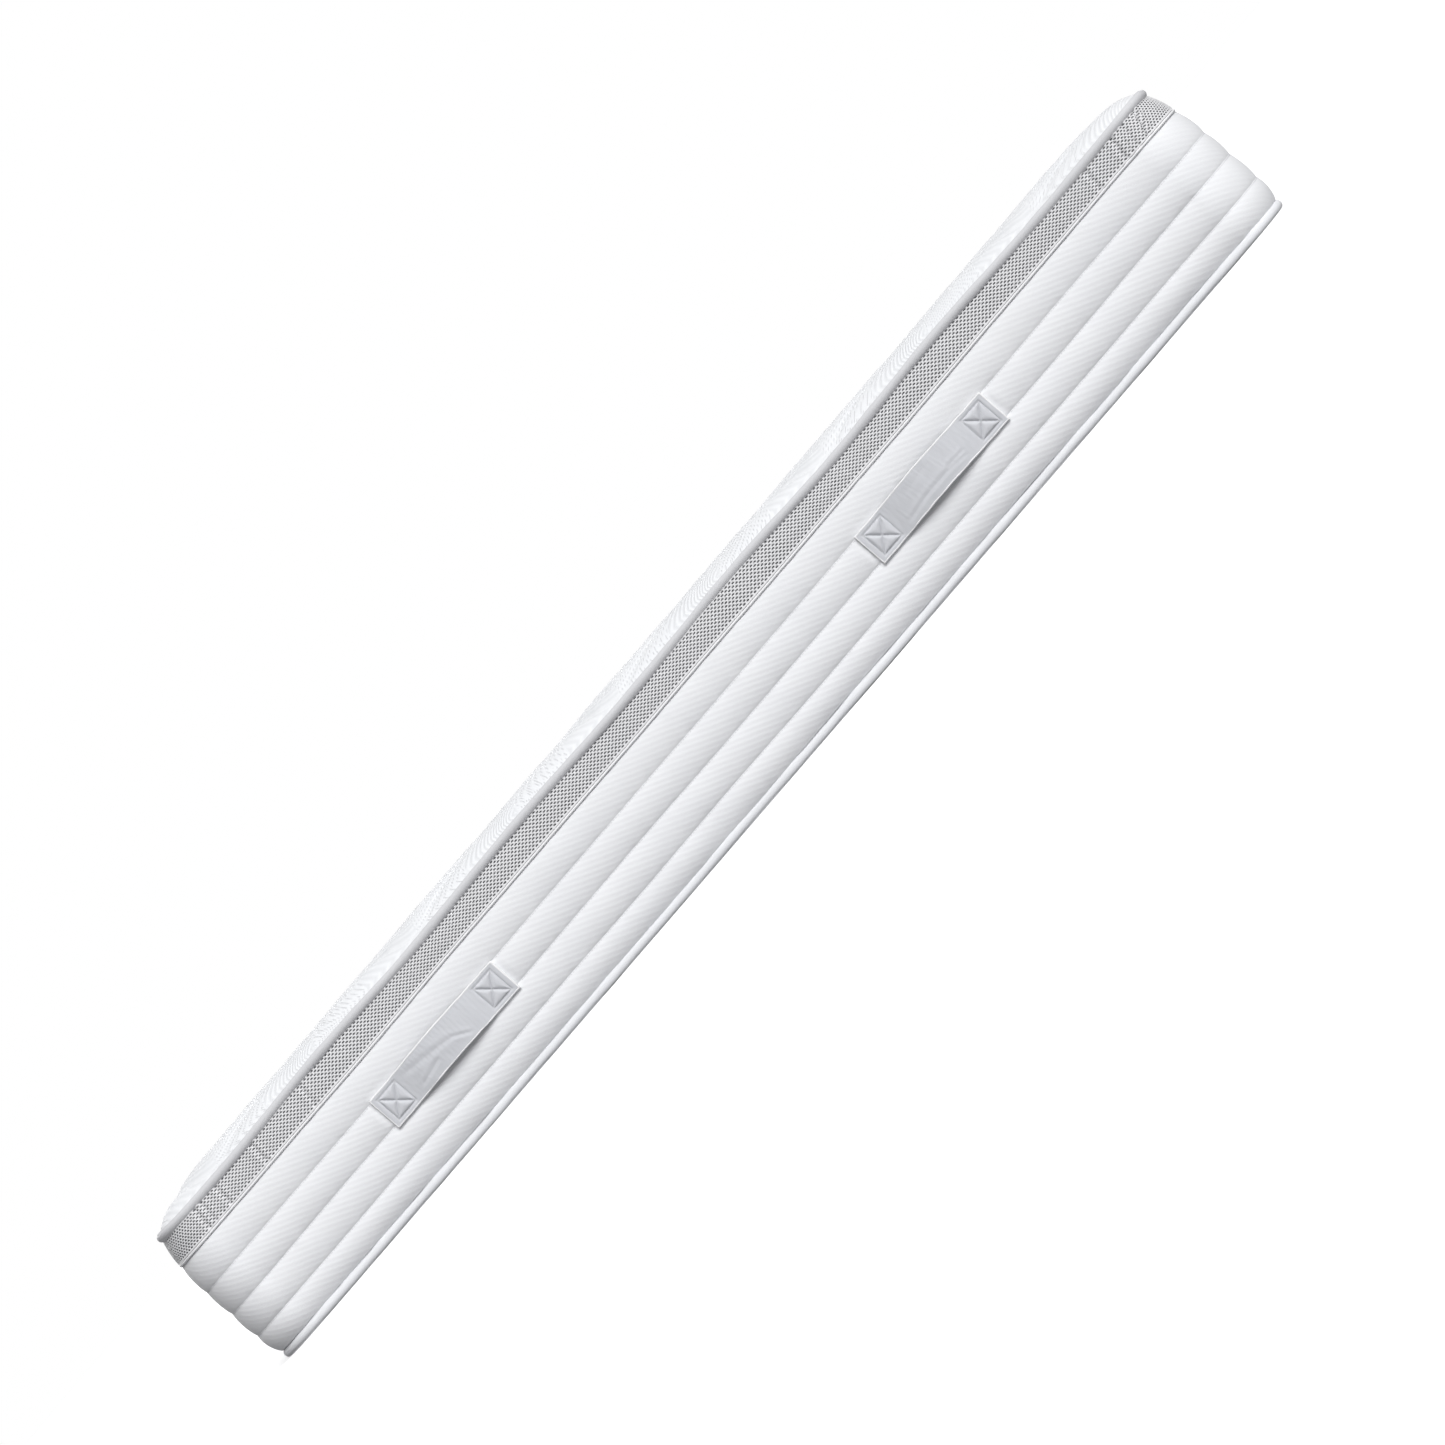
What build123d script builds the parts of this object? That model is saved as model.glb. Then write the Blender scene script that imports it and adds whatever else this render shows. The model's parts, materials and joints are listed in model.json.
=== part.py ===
"""Memory foam mattress, 2000 x 900 mm, as the separate pieces it is sewn and glued up from.

A stack of three foam blocks stands on a quilted base panel. A padded border of four sewn channels
and a band of spacer mesh run round the stack, a crowned quilted panel closes the top, and a rolled
binding tape joins each panel to the border. Four strap handles are box-stitched to the long sides.

The frame is +Z up with its origin in the middle of the underside, +X along the length, and the
front is the long side at -Y. All dimensions are in millimetres.
"""

import os

from build123d import *

# Overall size, over the fullest channel of the border
LENGTH = 2000
WIDTH = 900
CORNER = 80  # plan radius of a corner

# Levels above the floor, from the underside up
BASE_KNIT_TOP = 2
BASE_WADDING_TOP = 8
STACK_BOTTOM = 9
SUPPORT_TOP = 149
TRANSITION_TOP = 174
STACK_TOP = 234
PANEL_BACKING_TOP = 235

# The foam stack stands inside the border
FOAM_INSET = 17
FOAM_TOP_ROUND = 25
FOAM_BASE_ROUND = 11

# Crown of the top panel: how far in from the side, and how high its upper face is there
PANEL_INSET = 25.5
CROWN = ((PANEL_INSET, 240), (60, 250), (125, 256))
CROWN_INNER_RADIUS = 40
KNIT = 2  # thickness of the panels' knit cloth

# Border: each channel's lower and upper seam, how far in the seams are, and how far in it swells
CHANNELS = (
    {"low": 13.3, "high": 51, "low_inset": 9, "high_inset": 4.5, "swell_inset": 1.5},
    {"low": 51, "high": 95, "low_inset": 4.5, "high_inset": 4.5, "swell_inset": 0},
    {"low": 95, "high": 139, "low_inset": 4.5, "high_inset": 4.5, "swell_inset": 0.5},
    {"low": 139, "high": 184, "low_inset": 4.5, "high_inset": 6, "swell_inset": 2},
)
BORDER_KNIT = 1.5
BORDER_BOTTOM = CHANNELS[0]["low"]
BORDER_TOP = CHANNELS[-1]["high"]
BACKING_OUTSIDE = 14.5
BACKING = 1

# Seam welt between the border and the mesh, and the mesh itself, which leans in as it rises
WELT_OUTSIDE = 4.5
WELT_DEPTH = 8
WELT_BOTTOM = 184.4
WELT_TOP = 188.8
MESH_BOTTOM = 189
MESH_TOP = 228
MESH_BOTTOM_INSET = 5
MESH_TOP_INSET = 15
MESH_THICKNESS = 3

# Rolled binding tapes
TOP_TAPE_RADIUS = 6
TOP_TAPE_INSET = 19
TOP_TAPE_LEVEL = 234
BASE_TAPE_RADIUS = 6.5
BASE_TAPE_INSET = 12.5
BASE_PANEL_INSET = 19.5

# Sewing thread
THREAD = 0.8
SEAM_THREAD_INSET = 4
WELT_THREAD_RISE = 0.4

# Strap handles: where their middles are along the sides, and the strap's own size
HANDLES = {
    "front_left": {"along": -527, "side": -1},
    "front_right": {"along": 439, "side": -1},
    "back_left": {"along": -439, "side": 1},
    "back_right": {"along": 527, "side": 1},
}
HANDLE_LEVEL = 115.5
HANDLE_LENGTH = 244
STRAP_HEIGHT = 52
STRAP_THICKNESS = 4.8
STRAP_COVER = 1.2
EDGING = 3
EDGING_PROUD = 0.4
TAB_LENGTH = 46
TAB_SINK = 3  # how far the stitching pulls a tab's back face into the border
BOW_HALF_SPAN = 74
BOW_FOOT = -2.5  # the bow's feet, measured outwards from the fullest channel
BOW_RISE = 13.5
POCKET_INNER_END = 60  # the border is pressed flat from here to past the strap's end
POCKET_MARGIN = 1
BOX_STITCH_LENGTH = 34
BOX_STITCH_HEIGHT = 38
BOX_STITCH_MARGIN = 9
STITCH_RISE = 0.5
PATCH_LENGTH = 46
PATCH_HEIGHT = 56
PATCH = 1

# The bow is an arc of a circle
BOW_RADIUS = (BOW_HALF_SPAN**2 + BOW_RISE**2) / (2 * BOW_RISE)
BOW_CENTRE = BOW_FOOT + BOW_RISE - BOW_RADIUS

# The plane across the front side at mid length: x points outwards from the fullest channel, y up
SIDE_SECTION = Plane(origin=(0, -WIDTH / 2, 0), x_dir=(0, -1, 0), z_dir=(-1, 0, 0))

os.makedirs("parts", exist_ok=True)


def save(built, label):
    """Labels a finished piece and writes it to a file of its own."""
    built.part.label = label
    export_step(built.part, f"parts/{label}.step")


# --- The outline that every ring follows, from the middle of the front side round to it again ---

straight = LENGTH / 2 - CORNER
end_run = WIDTH - 2 * CORNER
with BuildLine() as rim:
    run = Line((0, -WIDTH / 2), (straight, -WIDTH / 2))
    for distance in (end_run, 2 * straight, end_run, straight):
        turn = JernArc(start=run @ 1, tangent=run % 1, radius=CORNER, arc_size=90)
        run = Line(turn @ 1, turn @ 1 + (turn % 1) * distance)


# --- Flat layers: the foam stack, the base panel and the backing of the top panel ---


def layer(low, high, inset, top_round=0, base_round=0):
    """A flat layer of the stack between two levels, in from the side by the inset."""
    with BuildPart() as flat:
        with BuildSketch(Plane.XY.offset(low)):
            RectangleRounded(LENGTH - 2 * inset, WIDTH - 2 * inset, CORNER - inset)
        extrude(amount=high - low)
        if top_round:
            fillet(flat.faces().sort_by(Axis.Z)[-1].edges(), radius=top_round)
        if base_round:
            fillet(flat.faces().sort_by(Axis.Z)[0].edges(), radius=base_round)
    return flat


save(layer(0, BASE_KNIT_TOP, BASE_PANEL_INSET), "base_knit")
save(layer(BASE_KNIT_TOP, BASE_WADDING_TOP, BASE_PANEL_INSET), "base_wadding")
save(layer(BASE_WADDING_TOP, STACK_BOTTOM, BASE_PANEL_INSET), "base_backing")
save(layer(STACK_BOTTOM, SUPPORT_TOP, FOAM_INSET, base_round=FOAM_BASE_ROUND), "support_foam")
save(layer(SUPPORT_TOP, TRANSITION_TOP, FOAM_INSET), "transition_foam")
save(layer(TRANSITION_TOP, STACK_TOP, FOAM_INSET, top_round=FOAM_TOP_ROUND), "memory_foam")
save(layer(STACK_TOP, PANEL_BACKING_TOP, PANEL_INSET), "top_backing")


# --- Top panel: wadding crowned towards the middle, under a knit cloth ---


def crown_solid(base, lowered):
    """The space under the panel's crown, from a flat base up to the crown lowered by a distance."""
    with BuildPart() as crowned:
        edge_inset, edge_level = CROWN[0]
        with BuildSketch(Plane.XY.offset(base)):
            RectangleRounded(LENGTH - 2 * edge_inset, WIDTH - 2 * edge_inset, CORNER - edge_inset)
        extrude(amount=edge_level - lowered - base)
        for inset, level in CROWN:
            radius = max(CORNER - inset, CROWN_INNER_RADIUS)
            with BuildSketch(Plane.XY.offset(level - lowered)):
                RectangleRounded(LENGTH - 2 * inset, WIDTH - 2 * inset, radius)
        loft(ruled=True)
    return crowned


top_wadding = crown_solid(PANEL_BACKING_TOP, KNIT)
save(top_wadding, "top_wadding")

top_knit = crown_solid(PANEL_BACKING_TOP, 0)
with top_knit:
    add(top_wadding.part, mode=Mode.SUBTRACT)
save(top_knit, "top_knit")


# --- Binding tapes, rolled round the panels' edges ---


def tape(inset, level, radius):
    """A round ring that follows the side all the way round."""
    with BuildPart() as ring:
        with BuildSketch(SIDE_SECTION):
            with Locations((-inset, level)):
                Circle(radius)
        sweep(path=rim.wire())
    return ring


save(tape(TOP_TAPE_INSET, TOP_TAPE_LEVEL, TOP_TAPE_RADIUS), "top_binding")
save(tape(BASE_TAPE_INSET, BASE_TAPE_RADIUS, BASE_TAPE_RADIUS), "base_binding")


# --- Border: a knit skin in four swelling channels, wadding behind it, and a backing cloth ---


def channel_wall(depth):
    """The border's outer line, set back by a depth, from its lower edge up; returns its ends."""
    for channel in CHANNELS:
        arc = ThreePointArc(
            (-channel["low_inset"] - depth, channel["low"]),
            (-channel["swell_inset"] - depth, (channel["low"] + channel["high"]) / 2),
            (-channel["high_inset"] - depth, channel["high"]),
        )
        if channel is CHANNELS[0]:
            lower_end = arc @ 0
    return lower_end, arc @ 1


def handle_plane(place):
    """The plane of a side under a handle: x along the strap, y up, z outwards."""
    return Plane(
        origin=(place["along"], place["side"] * WIDTH / 2, HANDLE_LEVEL),
        x_dir=(-place["side"], 0, 0),
        z_dir=(0, place["side"], 0),
    )


POCKET_LENGTH = HANDLE_LENGTH / 2 + POCKET_MARGIN - POCKET_INNER_END
POCKET_HEIGHT = STRAP_HEIGHT + 2 * POCKET_MARGIN
POCKET_MIDDLE = POCKET_INNER_END + POCKET_LENGTH / 2
POCKET_CLEAR = 20  # cuts this far outwards, past the fullest channel


def pressed_faces(depth):
    """The faces that the eight strap ends press the border down to, at a depth inside the sides."""
    faces = []
    for place in HANDLES.values():
        with BuildSketch(handle_plane(place).offset(-depth)) as pressed:
            with Locations((-POCKET_MIDDLE, 0), (POCKET_MIDDLE, 0)):
                Rectangle(POCKET_LENGTH, POCKET_HEIGHT)
        faces += pressed.sketch.faces()
    return faces


with BuildPart() as border_knit:
    with BuildSketch(SIDE_SECTION):
        with BuildLine():
            outer_low, outer_high = channel_wall(0)
            inner_low, inner_high = channel_wall(BORDER_KNIT)
            Line(outer_low, inner_low)
            Line(outer_high, inner_high)
        make_face()
    sweep(path=rim.wire())
    # Under each strap end the stitching presses the cloth flat against the thinned wadding.
    for face in pressed_faces(TAB_SINK):
        extrude(face, amount=POCKET_CLEAR, mode=Mode.SUBTRACT)
    for face in pressed_faces(TAB_SINK + BORDER_KNIT):
        extrude(face, amount=BORDER_KNIT)
save(border_knit, "border_knit")

with BuildPart() as border_wadding:
    with BuildSketch(SIDE_SECTION):
        with BuildLine():
            outer_low, outer_high = channel_wall(BORDER_KNIT)
            Polyline(
                outer_high,
                (-BACKING_OUTSIDE, BORDER_TOP),
                (-BACKING_OUTSIDE, BORDER_BOTTOM),
                outer_low,
            )
        make_face()
    sweep(path=rim.wire())
    for face in pressed_faces(TAB_SINK + BORDER_KNIT):
        extrude(face, amount=POCKET_CLEAR, mode=Mode.SUBTRACT)
save(border_wadding, "border_wadding")

with BuildPart() as border_backing:
    with BuildSketch(SIDE_SECTION):
        with Locations((-BACKING_OUTSIDE - BACKING / 2, (BORDER_BOTTOM + BORDER_TOP) / 2)):
            Rectangle(BACKING, BORDER_TOP - BORDER_BOTTOM)
    sweep(path=rim.wire())
save(border_backing, "border_backing")

# One row of quilting thread lies in each groove between two channels.
with BuildPart() as border_thread:
    with BuildSketch(SIDE_SECTION):
        with Locations(*[(-SEAM_THREAD_INSET, channel["low"]) for channel in CHANNELS[1:]]):
            Circle(THREAD / 2)
    sweep(path=rim.wire())
    # The strap ends hide the thread, and their own stitching holds the cloth down there.
    for face in pressed_faces(TAB_SINK + BORDER_KNIT):
        extrude(face, amount=POCKET_CLEAR, mode=Mode.SUBTRACT)
save(border_thread, "border_thread")


# --- Seam welt, its thread, and the mesh band above it ---

with BuildPart() as seam_welt:
    with BuildSketch(SIDE_SECTION):
        with Locations((-WELT_OUTSIDE - WELT_DEPTH / 2, (WELT_BOTTOM + WELT_TOP) / 2)):
            RectangleRounded(WELT_DEPTH, WELT_TOP - WELT_BOTTOM, 1.5)
    sweep(path=rim.wire())
save(seam_welt, "seam_welt")

with BuildPart() as welt_thread:
    with BuildSketch(SIDE_SECTION):
        with Locations((WELT_THREAD_RISE - WELT_OUTSIDE, (WELT_BOTTOM + WELT_TOP) / 2)):
            Circle(THREAD / 2)
    sweep(path=rim.wire())
save(welt_thread, "welt_thread")

with BuildPart() as mesh_band:
    with BuildSketch(SIDE_SECTION):
        with BuildLine():
            Polyline(
                (-MESH_BOTTOM_INSET, MESH_BOTTOM),
                (-MESH_TOP_INSET, MESH_TOP),
                (-MESH_TOP_INSET - MESH_THICKNESS, MESH_TOP),
                (-MESH_BOTTOM_INSET - MESH_THICKNESS, MESH_BOTTOM),
                close=True,
            )
        make_face()
    sweep(path=rim.wire())
save(mesh_band, "mesh_band")


# --- Handles: two stitched-down tabs and the bowed grip between them ---

STRAP_BODY = STRAP_HEIGHT - 2 * EDGING
CORE_HEIGHT = STRAP_BODY - 2 * STRAP_COVER
TAB_MIDDLE = (HANDLE_LENGTH - TAB_LENGTH) / 2
TAB_BODY = TAB_LENGTH - EDGING
TAB_BODY_MIDDLE = TAB_MIDDLE - EDGING / 2
STITCH_MIDDLE = HANDLE_LENGTH / 2 - BOX_STITCH_MARGIN - BOX_STITCH_LENGTH / 2
BOW_HALF_ANGLE = 20.4
box_corner = Vector(BOX_STITCH_LENGTH, BOX_STITCH_HEIGHT)
diagonal = box_corner.length - 2 * THREAD
diagonal_angle = box_corner.get_angle(Vector(1, 0))


def bow(side_plane, low, high, heights):
    """The bowed grip between two depths of the strap, at each (middle, height) up the side."""
    arch_plane = Plane(side_plane.origin, side_plane.x_dir, -side_plane.y_dir)
    with BuildPart() as arch:
        for middle, height in heights:
            with BuildSketch(arch_plane.offset(-middle)):
                with BuildLine():
                    start = 90 - BOW_HALF_ANGLE
                    centre = (0, BOW_CENTRE)
                    inner = CenterArc(centre, BOW_RADIUS + low, start, 2 * BOW_HALF_ANGLE)
                    outer = CenterArc(centre, BOW_RADIUS + high, start, 2 * BOW_HALF_ANGLE)
                    Line(inner @ 0, outer @ 0)
                    Line(inner @ 1, outer @ 1)
                make_face()
            extrude(amount=height / 2, both=True)
    return arch


for corner, place in HANDLES.items():
    side = handle_plane(place)
    tab_back = side.offset(-TAB_SINK)

    # Webbing core of each tab, and the knit sleeve that it lies in, open towards the grip
    with BuildPart() as tab_core:
        with BuildSketch(tab_back.offset(STRAP_COVER)):
            with Locations((-TAB_BODY_MIDDLE, 0), (TAB_BODY_MIDDLE, 0)):
                Rectangle(TAB_BODY, CORE_HEIGHT)
        extrude(amount=STRAP_THICKNESS - 2 * STRAP_COVER)
    save(tab_core, f"{corner}_tab_core")

    with BuildPart() as tab_cover:
        with BuildSketch(tab_back):
            with Locations((-TAB_BODY_MIDDLE, 0), (TAB_BODY_MIDDLE, 0)):
                Rectangle(TAB_BODY, STRAP_BODY)
        extrude(amount=STRAP_THICKNESS)
        add(tab_core.part, mode=Mode.SUBTRACT)
    save(tab_cover, f"{corner}_tab_cover")

    # Edging tape round three edges of each tab
    with BuildPart() as tab_edging:
        with BuildSketch(tab_back):
            with Locations((-TAB_MIDDLE, 0), (TAB_MIDDLE, 0)):
                Rectangle(TAB_LENGTH, STRAP_HEIGHT)
            with Locations((-TAB_BODY_MIDDLE, 0), (TAB_BODY_MIDDLE, 0)):
                Rectangle(TAB_BODY, STRAP_BODY, mode=Mode.SUBTRACT)
        extrude(amount=STRAP_THICKNESS + EDGING_PROUD)
    save(tab_edging, f"{corner}_tab_edging")

    # Crossed box of thread that holds each tab down
    with BuildPart() as box_stitch:
        for middle in (-STITCH_MIDDLE, STITCH_MIDDLE):
            with BuildSketch(tab_back.offset(STRAP_THICKNESS)):
                with Locations((middle, 0)):
                    Rectangle(BOX_STITCH_LENGTH, BOX_STITCH_HEIGHT)
                    offset(amount=-THREAD, kind=Kind.INTERSECTION, mode=Mode.SUBTRACT)
                for slope in (-diagonal_angle, diagonal_angle):
                    with Locations(Location((middle, 0), slope)):
                        Rectangle(diagonal, THREAD)
            extrude(amount=STITCH_RISE)
    save(box_stitch, f"{corner}_box_stitch")

    # Patch behind the border's backing that the box stitch bites into
    with BuildPart() as patch:
        with BuildSketch(side.offset(-BACKING_OUTSIDE - BACKING - PATCH)):
            with Locations((-STITCH_MIDDLE, 0), (STITCH_MIDDLE, 0)):
                Rectangle(PATCH_LENGTH, PATCH_HEIGHT)
        extrude(amount=PATCH)
    save(patch, f"{corner}_patch")

    # The grip: core, sleeve and the two long edges of the edging tape
    core_depths = (STRAP_COVER, STRAP_THICKNESS - STRAP_COVER)
    grip_core = bow(side, *core_depths, [(0, CORE_HEIGHT)])
    save(grip_core, f"{corner}_grip_core")

    grip_cover = bow(side, 0, STRAP_THICKNESS, [(0, STRAP_BODY)])
    with grip_cover:
        add(grip_core.part, mode=Mode.SUBTRACT)
    save(grip_cover, f"{corner}_grip_cover")

    edge_level = (STRAP_HEIGHT - EDGING) / 2
    edges = [(-edge_level, EDGING), (edge_level, EDGING)]
    save(bow(side, -EDGING_PROUD / 2, STRAP_THICKNESS + EDGING_PROUD / 2, edges), f"{corner}_grip_edging")
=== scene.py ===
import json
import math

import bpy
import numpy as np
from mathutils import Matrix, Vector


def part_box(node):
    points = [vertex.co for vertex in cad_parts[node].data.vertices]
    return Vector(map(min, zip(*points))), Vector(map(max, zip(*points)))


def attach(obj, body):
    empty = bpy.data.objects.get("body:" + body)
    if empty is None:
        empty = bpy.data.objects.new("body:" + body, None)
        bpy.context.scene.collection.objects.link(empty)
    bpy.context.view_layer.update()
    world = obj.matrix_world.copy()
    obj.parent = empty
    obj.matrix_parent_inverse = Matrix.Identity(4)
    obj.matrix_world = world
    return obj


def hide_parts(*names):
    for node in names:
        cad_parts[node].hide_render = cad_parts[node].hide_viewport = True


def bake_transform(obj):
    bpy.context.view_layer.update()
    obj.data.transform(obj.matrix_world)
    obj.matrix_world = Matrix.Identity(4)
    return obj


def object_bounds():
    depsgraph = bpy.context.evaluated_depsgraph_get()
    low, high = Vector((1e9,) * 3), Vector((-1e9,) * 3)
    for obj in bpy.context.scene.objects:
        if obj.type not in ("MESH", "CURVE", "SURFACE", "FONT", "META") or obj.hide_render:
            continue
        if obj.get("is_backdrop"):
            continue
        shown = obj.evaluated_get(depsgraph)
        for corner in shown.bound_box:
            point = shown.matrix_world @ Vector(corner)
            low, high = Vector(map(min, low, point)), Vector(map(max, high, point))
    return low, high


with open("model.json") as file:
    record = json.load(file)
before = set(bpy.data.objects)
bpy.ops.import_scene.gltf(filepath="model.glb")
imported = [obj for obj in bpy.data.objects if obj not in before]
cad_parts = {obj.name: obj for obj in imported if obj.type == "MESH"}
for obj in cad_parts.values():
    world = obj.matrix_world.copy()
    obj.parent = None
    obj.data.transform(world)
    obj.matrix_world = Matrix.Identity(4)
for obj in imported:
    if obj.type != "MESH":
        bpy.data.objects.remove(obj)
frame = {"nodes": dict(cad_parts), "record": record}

# %% [markdown]
# # A memory foam mattress
#
# The mattress is a stack of foam blocks in a sewn cover. Its border is quilted into four channels, a
# band of spacer mesh runs above them, rolled binding tapes close the top and the bottom panel, and
# four strap handles are box-stitched to the long sides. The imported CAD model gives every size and
# every moving body. Here each soft piece is made again as cloth: with seams, puckers and thread.
# Almost everything on a mattress follows one outline, so one function for that outline drives
# nearly all of the pieces.

MM = 0.001
cad_low, cad_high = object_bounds()

# %% [markdown]
# ## Camera
#
# The camera looks at the long side, a little from the right and hardly above it, from far off, so
# the lens is a long one. It is rolled by about half a right angle, so the mattress lies across the
# frame from the lower left to the upper right. Its matrix is built from the turned right and up
# directions, which is plainer than juggling three Euler angles.

# %% Camera
AIM = Vector((0.0266, -0.45, 0.1145))
CAMERA_DISTANCE = 6.775
CAMERA_SIDEWAYS = math.radians(6)
CAMERA_RISE = math.radians(1)
CAMERA_ROLL = math.radians(49.41)
LENS = 131.55

back = Vector(
    (
        math.sin(CAMERA_SIDEWAYS) * math.cos(CAMERA_RISE),
        -math.cos(CAMERA_SIDEWAYS) * math.cos(CAMERA_RISE),
        math.sin(CAMERA_RISE),
    )
)
level_right = Vector((0, 0, 1)).cross(back).normalized()
level_up = back.cross(level_right)
right = math.cos(CAMERA_ROLL) * level_right - math.sin(CAMERA_ROLL) * level_up
up = math.sin(CAMERA_ROLL) * level_right + math.cos(CAMERA_ROLL) * level_up
camera_data = bpy.data.cameras.new("camera")
camera_data.lens = LENS
camera_data.clip_end = 100
camera = bpy.data.objects.new("camera", camera_data)
camera.matrix_world = Matrix.Translation(AIM + back * CAMERA_DISTANCE) @ Matrix(
    (right, up, back)
).transposed().to_4x4()
bpy.context.scene.collection.objects.link(camera)
bpy.context.scene.camera = camera
print("camera at", [round(v, 3) for v in camera.location], "lens", LENS)

# %% [markdown]
# ## Studio
#
# White cloth on white needs light that comes mostly from above: the top of each channel is then
# bright and its underside turns grey, and that is all that draws the shape. A broad sun, as soft
# as a large lamp far away, shines from the upper right of the front side, so the left end falls
# into shade. A weaker one behind keeps the back from going dark. The room fills the rest: it looks
# white to the camera, but it lights the cloth with less than that, mostly from straight above and
# less from the left. Light from below is only for the base panel. The plain view transform keeps
# white paper white. Materials and the room need many small nodes, so the helpers for them come
# first.

# %% Nodes made in one line each


def plug(tree, value, socket):
    """Links a socket, or sets a plain value."""
    if isinstance(value, bpy.types.NodeSocket):
        tree.links.new(value, socket)
    else:
        socket.default_value = value


def add_node(tree, kind, inputs, **settings):
    """Adds a node with its settings, and fills its inputs by name or by number."""
    made = tree.nodes.new(kind)
    for key, value in settings.items():
        setattr(made, key, value)
    for socket, value in inputs.items():
        plug(tree, value, made.inputs[socket])
    return made


def calculate(tree, operation, *values):
    """One math node, for values or sockets."""
    return add_node(tree, "ShaderNodeMath", dict(enumerate(values)), operation=operation).outputs[0]


def mix(tree, factor, first, second, kind="RGBA"):
    """A mix of two colours, or of two values where the kind is FLOAT."""
    inputs = {"Factor": factor, "A": first, "B": second}
    return add_node(tree, "ShaderNodeMix", inputs, data_type=kind).outputs["Result"]


def remap(tree, value, low, high, start=0.0, end=1.0, **settings):
    """A value between low and high, moved to lie between start and end."""
    inputs = {"Value": value, "From Min": low, "From Max": high, "To Min": start, "To Max": end}
    return add_node(tree, "ShaderNodeMapRange", inputs, **settings).outputs["Result"]


def noise(tree, scale, detail, **inputs):
    """A soft noise from about 0 to 1."""
    return add_node(tree, "ShaderNodeTexNoise", {"Scale": scale, "Detail": detail, **inputs}).outputs["Fac"]


def new_material(name):
    """An empty node material with its output node."""
    made = bpy.data.materials.new(name)
    made.use_nodes = True
    made.node_tree.nodes.clear()
    return made, made.node_tree, made.node_tree.nodes.new("ShaderNodeOutputMaterial")


# %% Light and surroundings
SUN_FROM = Vector((0.42, -0.72, 0.62))
SUN_STRENGTH = 2.7
SUN_SOFTNESS = math.radians(38)
ROOM_LOW = 0.10
ROOM_HIGH = 1.15
DIM_SIDE = 0.25
LIGHT_FROM_BELOW = 2.0
BELOW = -0.02
FILL_FROM = Vector((-0.35, 1, 0.14))
FILL_STRENGTH = 1.7

bpy.context.scene.view_settings.view_transform = "Standard"
for name, source, energy in (
    ("broad_sun", SUN_FROM, SUN_STRENGTH),
    ("back_fill", FILL_FROM, FILL_STRENGTH),
):
    lamp = bpy.data.lights.new(name, "SUN")
    lamp.energy = energy
    lamp.angle = SUN_SOFTNESS
    sun = bpy.data.objects.new(name, lamp)
    sun.rotation_mode = "QUATERNION"
    sun.rotation_quaternion = source.to_track_quat("Z", "Y")
    bpy.context.scene.collection.objects.link(sun)

world = bpy.data.worlds.new("white_room")
bpy.context.scene.world = world
world.use_nodes = True
room = world.node_tree
direction = add_node(room, "ShaderNodeTexCoord", {}).outputs["Generated"]
parts = add_node(room, "ShaderNodeSeparateXYZ", {"Vector": direction}).outputs
steep = calculate(room, "POWER", calculate(room, "MAXIMUM", parts["Z"], 0), 2)
overhead = calculate(room, "MULTIPLY_ADD", steep, ROOM_HIGH - ROOM_LOW, ROOM_LOW)
sky = calculate(room, "MULTIPLY", overhead, remap(room, parts["X"], -1.0, 0.2, DIM_SIDE, 1.0))
slanted = remap(room, parts["X"], -0.5, 1.0, 0.0, LIGHT_FROM_BELOW)
under = calculate(room, "MULTIPLY", calculate(room, "LESS_THAN", parts["Z"], BELOW), slanted)
seen = add_node(room, "ShaderNodeLightPath", {}).outputs["Is Camera Ray"]
strength = calculate(room, "MAXIMUM", calculate(room, "ADD", sky, under), seen)
background = room.nodes["Background"]
background.inputs["Color"].default_value = (1, 1, 1, 1)
plug(room, strength, background.inputs["Strength"])
print("sun", SUN_STRENGTH, "room", ROOM_LOW, "to", ROOM_HIGH)

# %% [markdown]
# ## Floor
#
# The floor is one large pale plane, made as a ring round a window that hides under the mattress.
# Its shader turns see-through on its lower side, so a camera below it can look up at the base
# panel, and the room's light from below comes up through the window. To the camera the floor is a
# little lighter than to the mattress. That keeps the ground white, as white paper is, and yet the
# border isn't washed out by light thrown up from it.

# %% Floor
FLOOR_SIZE = 60
FLOOR_COLOUR = (0.90, 0.90, 0.905, 1)
FLOOR_BOUNCE = (0.36, 0.36, 0.365, 1)
FLOOR_GLOW = 0.45
WINDOW_INSET = 9 * MM
WINDOW_CORNER = 71 * MM
WINDOW_X = cad_high.x - WINDOW_INSET - WINDOW_CORNER
WINDOW_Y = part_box("border_knit")[1].y - WINDOW_INSET - WINDOW_CORNER
ARC_POINTS = 8
quarter = np.repeat(np.arange(4), ARC_POINTS)
angle = np.radians(90 * quarter + np.tile(np.linspace(0, 90, ARC_POINTS), 4))
centre_x = WINDOW_X * np.array([1, -1, -1, 1])[quarter]
centre_y = WINDOW_Y * np.array([1, 1, -1, -1])[quarter]
rings = []
for size in (WINDOW_CORNER, FLOOR_SIZE / 2):
    x = centre_x + size * np.cos(angle)
    y = centre_y + size * np.sin(angle)
    rings.append(np.stack([x, y, 0 * x], 1))
inner = np.arange(len(angle))
after = (inner + 1) % len(angle)
floor_faces = np.stack([inner, inner + len(angle), after + len(angle), after], 1)
floor_mesh = bpy.data.meshes.new("floor")
floor_mesh.from_pydata(np.concatenate(rings).tolist(), [], floor_faces.tolist())
floor = bpy.data.objects.new("floor", floor_mesh)
bpy.context.scene.collection.objects.link(floor)
floor_paint, tree, output = new_material("pale_floor")
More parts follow.
